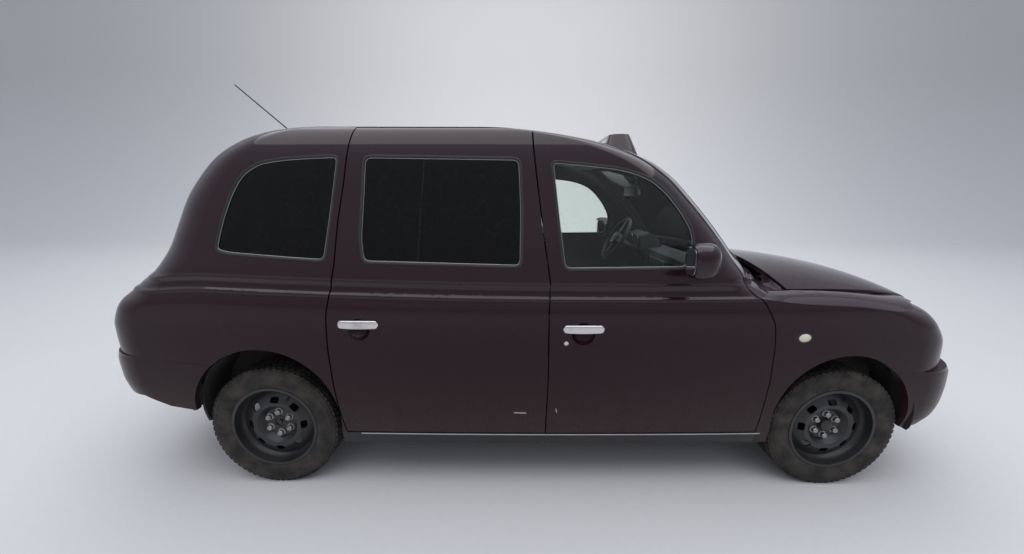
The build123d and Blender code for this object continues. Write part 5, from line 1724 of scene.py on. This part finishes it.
class CAB_OT_roof_items(bpy.types.Operator):
    """The roof sign's painted pod with its blank panels"""

    bl_idname = "cab.roof_items"
    bl_label = "Roof items"

    def execute(self, context):
        x_sign = MID_X + 0.425
        smooth_copy("roof_sign", [], "paint", ("paint",), one_finish, None, 35)
        for label, way in (("front", 1), ("rear", -1)):
            rings = []
            for depth in (-0.003, 0.0015, 0.0022):
                ring = []
                shrink = 0.002 if depth > 0.002 else 0.0
                for a, b in rounded(0.165 - shrink, 0.031 - shrink, 0.012, 5):
                    t = (1.806 + b - 1.700) / 0.156
                    ring.append((x_sign - 0.005 * t + way * (0.115 - 0.055 * t + depth), a, 1.806 + b))
                rings.append(ring)
            parts_piece(f"sign_{label}_panel", [lofted(rings)], 30, "root", "lamp", "sign")
        return {"FINISHED"}


def side_form(outline, y_from, y_to, shrink=0.0, edge=0.04, corner=0.045):
    """A closed cushion form: a side outline carried across the cab, with rounded ends."""
    flat = evened(rounded_path([(MID_X + x, z) for x, z in outline], corner), 0.025)
    flat = pulled_in(flat, shrink)
    middle, half = (y_from + y_to) / 2, (y_to - y_from) / 2 - shrink
    turns = [math.radians(90 * i / 5) for i in range(6)]
    ends = [(half - edge + edge * math.cos(t), edge * (1 - math.sin(math.pi / 2 - t))) for t in turns]
    steps = max(2, int(2 * (half - edge) / 0.03))
    stations = [(middle - y, pull) for y, pull in ends[::-1]]
    stations += [(middle - (half - edge) + 2 * (half - edge) * i / steps, 0.0) for i in range(1, steps)]
    stations += [(middle + y, pull) for y, pull in ends]
    stations.sort(key=lambda station: station[0])
    outlines = [(y, pulled_in(flat, pull) if pull > 0 else flat) for y, pull in stations]
    return lofted([[(x, y, z) for x, z in outline] for y, outline in outlines])


def swollen(name, form, voxel, cap):
    """A padded mesh: remeshed evenly and blown up a little by a cloth simulation."""
    mesh = merged_mesh(name, [form], 80)
    carrier = bpy.data.objects.new(name, mesh)
    scene = bpy.context.scene
    scene.collection.objects.link(carrier)
    remesh = carrier.modifiers.new("even", "REMESH")
    remesh.mode = "VOXEL"
    remesh.voxel_size = voxel
    bpy.context.view_layer.update()
    graph = bpy.context.evaluated_depsgraph_get()
    even = bpy.data.meshes.new_from_object(carrier.evaluated_get(graph))
    carrier.modifiers.clear()
    carrier.data = even
    rest = np.empty(len(even.vertices) * 3)
    even.vertices.foreach_get("co", rest)
    rest = rest.reshape(-1, 3)
    cloth = carrier.modifiers.new("cloth", "CLOTH")
    cloth.settings.quality = 4
    cloth.settings.mass = 0.3
    cloth.settings.use_pressure = True
    cloth.settings.uniform_pressure_force = 4.0
    cloth.settings.effector_weights.gravity = 0.0
    cloth.collision_settings.use_collision = False
    cloth.point_cache.frame_start = 1
    cloth.point_cache.frame_end = 20
    for step in range(1, 21):
        scene.frame_set(step)
    graph = bpy.context.evaluated_depsgraph_get()
    blown = bpy.data.meshes.new_from_object(carrier.evaluated_get(graph))
    moved = np.empty(len(even.vertices) * 3)
    blown.vertices.foreach_get("co", moved)
    moved = moved.reshape(-1, 3) - rest
    length = np.linalg.norm(moved, axis=1)
    rest = rest + moved * (np.minimum(length, cap) / np.maximum(length, 1e-9))[:, None]
    carrier.modifiers.clear()
    scene.frame_set(1)
    even.vertices.foreach_set("co", rest.ravel())
    bpy.data.objects.remove(carrier)
    even.name = name
    return even


def stitched(mesh, seams, depth=0.005, width=0.010):
    """Presses sewn channels into a padded mesh: each seam is an axis, a place and its reach."""
    form = bmesh.new()
    form.from_mesh(mesh)
    form.normal_update()
    points = np.array([v.co for v in form.verts])
    normals = np.array([v.normal for v in form.verts])
    press = np.zeros(len(points))
    for axis, place, low, high, along in seams:
        gap = np.abs(points[:, axis] - place)
        place_along = points[:, along]
        inside = np.clip((place_along - low) / 0.03, 0, 1) * np.clip((high - place_along) / 0.03, 0, 1)
        press = np.maximum(press, np.exp(-((gap / width) ** 2)) * inside)
    points = points - normals * (press * depth)[:, None]
    for vert, place in zip(form.verts, points):
        vert.co = place
    form.to_mesh(mesh)
    form.free()
    mesh.shade_smooth()
    return mesh


# Side outline of both folding seats' pads
FOLDING_OUTLINE = [(-0.200, 0.490), (-0.275, 0.480), (-0.285, 0.960), (-0.200, 0.955)]
# Padded pieces: name, side outline from the middle of the wheelbase, reach across, voxel, seams across
SEAT_PADS = [
    ("driver_cushion", [
        (-0.090, 0.650), (0.460, 0.662), (0.500, 0.740), (0.470, 0.790), (0.060, 0.762), (-0.090, 0.700),
    ], 0.130, 0.630, 0.011, 3),
    ("driver_backrest", [
        (-0.100, 0.740), (-0.140, 1.290), (-0.080, 1.310), (0.010, 1.280), (0.060, 0.765), (0.030, 0.740),
    ], 0.135, 0.625, 0.011, 3),
    ("driver_headrest", [
        (-0.130, 1.318), (-0.160, 1.450), (-0.100, 1.470), (-0.060, 1.440), (-0.070, 1.318),
    ], 0.260, 0.500, 0.008, 0),
    ("bench_cushion", [
        (-1.440, 0.560), (-0.985, 0.545), (-0.955, 0.740), (-0.990, 0.780), (-1.440, 0.730),
    ], -0.585, 0.585, 0.014, 8),
    ("bench_backrest", [
        (-1.570, 0.560), (-1.440, 0.735), (-1.500, 1.330), (-1.560, 1.340), (-1.610, 1.300), (-1.600, 0.800),
    ], -0.585, 0.585, 0.014, 8),
    ("right_folding_pad", FOLDING_OUTLINE, -0.640, -0.240, 0.010, 3),
    ("left_folding_pad", FOLDING_OUTLINE, 0.240, 0.640, 0.010, 3),
]


class CAB_OT_seats(bpy.types.Operator):
    """Padded driver's seat, rear bench and folding seats with their sewn channels"""

    bl_idname = "cab.seats"
    bl_label = "Seats"

    def execute(self, context):
        swell = context.scene.cab_sizes.seat_swell
        for name, outline, y_from, y_to, voxel, channels in SEAT_PADS:
            slim = "folding" in name or "headrest" in name
            form = side_form(outline, y_from, y_to, 0.012, 0.028 if slim else 0.040, 0.022 if slim else 0.045)
            mesh = swollen(name, form, voxel, swell * (0.5 if slim else 1.0))
            width = y_to - y_from
            seams = [
                (1, y_from + width * (i + 1) / (channels + 1), -9, 9, 0) for i in range(channels)
            ]
            if name == "driver_cushion":
                seams.append((0, MID_X + 0.40, y_from + 0.03, y_to - 0.03, 1))
            if name in ("driver_backrest", "bench_backrest"):
                seams.append((2, 1.17, y_from + 0.03, y_to - 0.03, 1))
            mesh = stitched(mesh, seams)
            piece = new_piece(name, mesh, "root", "seat_cloth", "seat_cloth")
            finer = piece.modifiers.new("finer", "SUBSURF")
            finer.levels = finer.render_levels = 1
            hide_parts("driver_seat" if "driver" in name else "passenger_seats")
        self.bases()
        return {"FINISHED"}

    def bases(self):
        """The driver's seat box and stalks, and the frames behind the folding seats."""
        rings = []
        for z, grow in ((0.331, 0.0), (0.345, -0.004), (0.560, -0.012), (0.640, -0.004), (0.652, -0.010)):
            section = rounded(0.230 + grow, 0.210 + grow, 0.030, 5)
            rings.append([(MID_X + 0.170 + a, 0.380 + b, z) for a, b in section])
        parts = [lofted(rings)]
        section = rounded(0.006, 0.006, 0.0055, 4)
        for y in (0.330, 0.430):
            ends = ((-0.095, 1.270), (-0.105, 1.345))
            parts.append(lofted([[(MID_X + x + a, y + b, z) for a, b in section] for x, z in ends]))
        piece = parts_piece("driver_seat_base", parts, 35, "root", "trim", "black_plastic")
        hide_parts("driver_seat")
        parts = []
        for sign in (-1, 1):
            rings = []
            for depth, pull in ((-0.014, 0.004), (-0.010, 0.0), (0.0, 0.0)):
                section = rounded(0.196 - pull, 0.236 - pull, 0.03, 5)
                rings.append([(MID_X - 0.1955 + depth, sign * 0.440 + a, 0.720 + b) for a, b in section])
            parts.append(lofted(rings))
        piece = parts_piece("folding_seat_shells", parts, 35, "root", "trim", "black_plastic")
        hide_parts("passenger_seats")


def slab(x_from, x_to, y_from, y_to, z_from, z_to, round_off=0.006):
    """A box with eased edges, as points and faces."""
    form = bmesh.new()
    bmesh.ops.create_cube(form, size=1.0)
    for vert in form.verts:
        vert.co = [
            (low + high) / 2 + at * (high - low)
            for at, low, high in zip(vert.co, (x_from, y_from, z_from), (x_to, y_to, z_to))
        ]
    bmesh.ops.bevel(form, geom=form.edges[:], offset=round_off, segments=3, affect="EDGES", profile=0.5)
    form.verts.index_update()
    points = [tuple(v.co) for v in form.verts]
    faces = [tuple(v.index for v in f.verts) for f in form.faces]
    form.free()
    return points, faces


class CAB_OT_cabin(bpy.types.Operator):
    """Dashboard dials and vents, door cards, floor covering, partition glass and inner mirror"""

    bl_idname = "cab.cabin"
    bl_label = "Cabin"

    def execute(self, context):
        smooth_copy("dashboard", [], "dash_plastic", ("dash_plastic",), one_finish, None, 40)
        smooth_copy("steering_wheel", [], "trim", ("black_plastic",), one_finish, None, 40)
        smooth_copy("partition", [], "trim", ("trim",), one_finish, None, 30)
        smooth_copy(
            "floor_pan", [], "underbody", ("underbody", "carpet"),
            lambda m, f, s: np.where((f[:, 2] > 0.3) & (m[:, 2] > 0.3), 1, 0), None, 30,
        )
        pane = slab(MID_X - 0.182, MID_X - 0.177, -0.640, 0.640, 1.040, 1.370, 0.001)
        parts_piece("partition_glass", [pane], 30, "root", "clear_glass", "clear_glass")
        self.dials()
        self.vents()
        self.cards()
        self.mirror()
        return {"FINISHED"}

    def dials(self):
        """Two round dials and a centre screen's blank face."""
        def circle(x, y, radius, steps):
            turns = np.linspace(0, 2 * math.pi, steps, endpoint=False)
            return [(MID_X + x, y + radius * math.cos(t), 1.166 + radius * math.sin(t)) for t in turns]

        parts, rims = [], []
        for y in (0.310, 0.450):
            parts.append(lofted([circle(x, y, 0.046, 40) for x in (0.7335, 0.7299)]))
            rims.append(circle(0.7295, y, 0.047, 48))
        parts_piece("dial_faces", parts, 30, "root", "dash_plastic", "black_plastic")
        bead("dial_rims", rims, 0.0022, "chrome", "root", "chrome", 8)
        parts = [slab(MID_X + 0.760, MID_X + 0.800, -0.135, 0.110, 0.990, 1.085, 0.006)]
        parts.append(slab(MID_X + 0.775, MID_X + 0.815, -0.120, 0.100, 0.900, 0.975, 0.006))
        parts.append(slab(MID_X + 0.10, MID_X + 0.52, 0.020, 0.100, 0.331, 0.640, 0.020))
        parts_piece("centre_console", parts, 35, "root", "dash_plastic", "dash_plastic")
        stalk = [(MID_X + 0.36, 0.060, 0.630), (MID_X + 0.37, 0.060, 0.700), (MID_X + 0.385, 0.060, 0.745)]
        bead("gear_selector", [stalk], 0.008, "black_plastic", "root", "trim", 12, closed=False)
        knob = slab(MID_X + 0.365, MID_X + 0.405, 0.040, 0.080, 0.740, 0.785, 0.014)
        parts_piece("gear_knob", [knob], 60, "root", "trim", "black_plastic")

    def vents(self):
        """Slatted air vents in the dashboard's face."""
        bars, frames = [], []
        x, z = MID_X + 0.7745, 1.055
        for y in (-0.600, -0.240, 0.190, 0.600):
            for i in range(6):
                bars.append([(x - 0.004, y + half, z - 0.025 + 0.010 * i) for half in (-0.044, 0.044)])
            low, high = z - 0.033, z + 0.033
            corners = [(y - 0.05, low), (y + 0.05, low), (y + 0.05, high), (y - 0.05, high)]
            frames.append([(x - 0.003, a, b) for a, b in rounded_path(corners, 0.012)])
        bead("vent_slats", bars, 0.0022, "black_plastic", "root", "trim", 6, closed=False)
        bead("vent_frames", frames, 0.0035, "black_plastic", "root", "trim", 8)

    def cards(self):
        """Door cards with an armrest on each door's inside."""
        for place, x_from, x_to, z_arm in (("front", 0.06, 0.84, 0.790), ("rear", -0.90, -0.20, 0.800)):
            for name, sign in SIDES:
                y = sign * 0.826
                middle = MID_X + (x_from + x_to) / 2
                arm, card = [sorted((y, y - sign * depth)) for depth in (0.030, 0.008)]
                parts = [
                    slab(middle - 0.17, middle + 0.17, *arm, z_arm - 0.028, z_arm + 0.022, 0.012),
                    slab(MID_X + x_from + 0.03, MID_X + x_to - 0.03, *card, 0.42, 0.70, 0.0035),
                ]
                door = f"{name}_{place}_door"
                parts_piece(f"{door}_card", parts, 40, door, "trim", "dash_plastic")

    def mirror(self):
        """The inner mirror on its stem."""
        case = slab(MID_X + 0.555, MID_X + 0.580, -0.125, 0.125, 1.500, 1.565, 0.010)
        parts_piece("inner_mirror", [case], 40, "root", "trim", "black_plastic")
        stem = [(MID_X + 0.575, 0.0, 1.550), (MID_X + 0.600, 0.0, 1.600), (MID_X + 0.575, 0.0, 1.650)]
        bead("inner_mirror_stem", [stem], 0.006, "black_plastic", "root", "trim", 10, closed=False)


# The camera that was fitted to the photograph: place, angles in radians, and lens in mm
CAMERA_PLACE = (-0.14072, -2.58615, 1.50912)
CAMERA_YAW, CAMERA_PITCH, CAMERA_ROLL = -0.002230, -0.213518, 0.003081
CAMERA_LENS = 13.40


class CAB_OT_stage(bpy.types.Operator):
    """Pale floor, soft studio light and the camera"""

    bl_idname = "cab.stage"
    bl_label = "Stage"

    def execute(self, context):
        scene = context.scene
        scene.view_settings.view_transform = "Standard"
        shader = Shader("studio_floor")
        grain = shader.noise(30.0, 3.0)
        base = shader.blend(grain, (0.60, 0.60, 0.595), (0.64, 0.64, 0.635))
        shader.surface(base_color=base, roughness=0.9, specular_ior_level=0.1)
        mesh = bpy.data.meshes.new("studio_floor")
        points, faces = [], []
        profile = [(-14.0, 0.0), (9.0, 0.0)]
        for i in range(1, 25):
            angle = math.radians(90 * i / 24)
            profile.append((9.0 + 7.0 * math.sin(angle), 7.0 - 7.0 * math.cos(angle)))
        profile.append((16.0, 18.0))
        for y, z in profile:
            points += [(-40.0, y, z), (40.0, y, z)]
        for i in range(len(profile) - 1):
            faces.append((2 * i, 2 * i + 1, 2 * i + 3, 2 * i + 2))
        mesh.from_pydata(points, [], faces)
        mesh.shade_smooth()
        mesh.materials.append(shader.material)
        floor = bpy.data.objects.new("studio_floor", mesh)
        scene.collection.objects.link(floor)
        world = bpy.data.worlds.new("studio_world")
        world.use_nodes = True
        scene.world = world
        tree = world.node_tree
        tree.nodes.clear()
        made = wired(tree, {
            "place": "ShaderNodeTexCoord", "split": "ShaderNodeSeparateXYZ", "ramp": "ShaderNodeValToRGB",
            "back": "ShaderNodeBackground", "out": "ShaderNodeOutputWorld",
        }, [
            ("place", "Generated", "split", 0), ("split", "Z", "ramp", 0), ("ramp", 0, "back", 0),
            ("back", 0, "out", 0),
        ])
        stops = made["ramp"].color_ramp.elements
        stops[0].position, stops[0].color = 0.0, (0.40, 0.41, 0.44, 1)
        stops[1].position, stops[1].color = 1.0, (1.05, 1.10, 1.30, 1)
        stops.new(0.35).color = (0.62, 0.65, 0.74, 1)
        made["back"].inputs["Strength"].default_value = 0.75
        for name, place, size, energy, aim in (
            ("top", (0.0, -1.0, 7.0), (13.0, 10.0), 520, (0, -1.0, 1.0)),
            ("wash", (0.0, 5.5, 9.5), (16.0, 3.0), 900, (0.0, 15.0, 5.0)),
        ):
            light = bpy.data.lights.new("studio_" + name, "AREA")
            light.shape = "RECTANGLE"
            light.size, light.size_y = size
            light.energy = energy
            lamp = bpy.data.objects.new("studio_" + name, light)
            lamp.location = place
            lamp.rotation_euler = (Vector(aim) - Vector(place)).to_track_quat("-Z", "Y").to_euler()
            scene.collection.objects.link(lamp)
        camera = bpy.data.cameras.new("photo_camera")
        camera.lens = CAMERA_LENS
        camera.sensor_width = 36.0
        camera.clip_start = 0.05
        view = bpy.data.objects.new("photo_camera", camera)
        toward = Vector((
            math.sin(CAMERA_YAW) * math.cos(CAMERA_PITCH), math.cos(CAMERA_YAW) * math.cos(CAMERA_PITCH),
            math.sin(CAMERA_PITCH),
        ))
        right = Vector((math.cos(CAMERA_YAW), -math.sin(CAMERA_YAW), 0))
        up = right.cross(toward)
        side = math.cos(CAMERA_ROLL) * right + math.sin(CAMERA_ROLL) * up
        top = -math.sin(CAMERA_ROLL) * right + math.cos(CAMERA_ROLL) * up
        turn = Matrix((side, top, -toward)).transposed().to_4x4()
        view.matrix_world = Matrix.Translation(CAMERA_PLACE) @ turn
        scene.collection.objects.link(view)
        scene.camera = view
        return {"FINISHED"}


OPERATORS = (
    CAB_OT_finishes, CAB_OT_carried, CAB_OT_doors, CAB_OT_body, CAB_OT_glass, CAB_OT_seals, CAB_OT_handles,
    CAB_OT_mirrors, CAB_OT_lamps, CAB_OT_covers, CAB_OT_trims, CAB_OT_wheels, CAB_OT_roof_items,
    CAB_OT_seats, CAB_OT_cabin, CAB_OT_stage,
)


class CAB_PT_panel(bpy.types.Panel):
    """The steps that dress the cab, in their order"""

    bl_idname = "CAB_PT_panel"
    bl_label = "Taxi cab"
    bl_space_type = "VIEW_3D"
    bl_region_type = "UI"
    bl_category = "Taxi cab"

    def draw(self, context):
        layout = self.layout
        for group in (context.scene.cab_sizes, context.scene.cab_tones):
            for name in group.__annotations__:
                layout.prop(group, name)
        for step in OPERATORS:
            layout.operator(step.bl_idname)


CLASSES = (CabSizes, CabTones, *OPERATORS, CAB_PT_panel)


def register():
    for each in CLASSES:
        bpy.utils.register_class(each)
    bpy.types.Scene.cab_sizes = bpy.props.PointerProperty(type=CabSizes)
    bpy.types.Scene.cab_tones = bpy.props.PointerProperty(type=CabTones)


def unregister():
    del bpy.types.Scene.cab_tones
    del bpy.types.Scene.cab_sizes
    for each in reversed(CLASSES):
        bpy.utils.unregister_class(each)


def main():
    register()
    for step in OPERATORS:
        group, name = step.bl_idname.split(".")
        getattr(getattr(bpy.ops, group), name)()


if __name__ == "__main__":
    main()
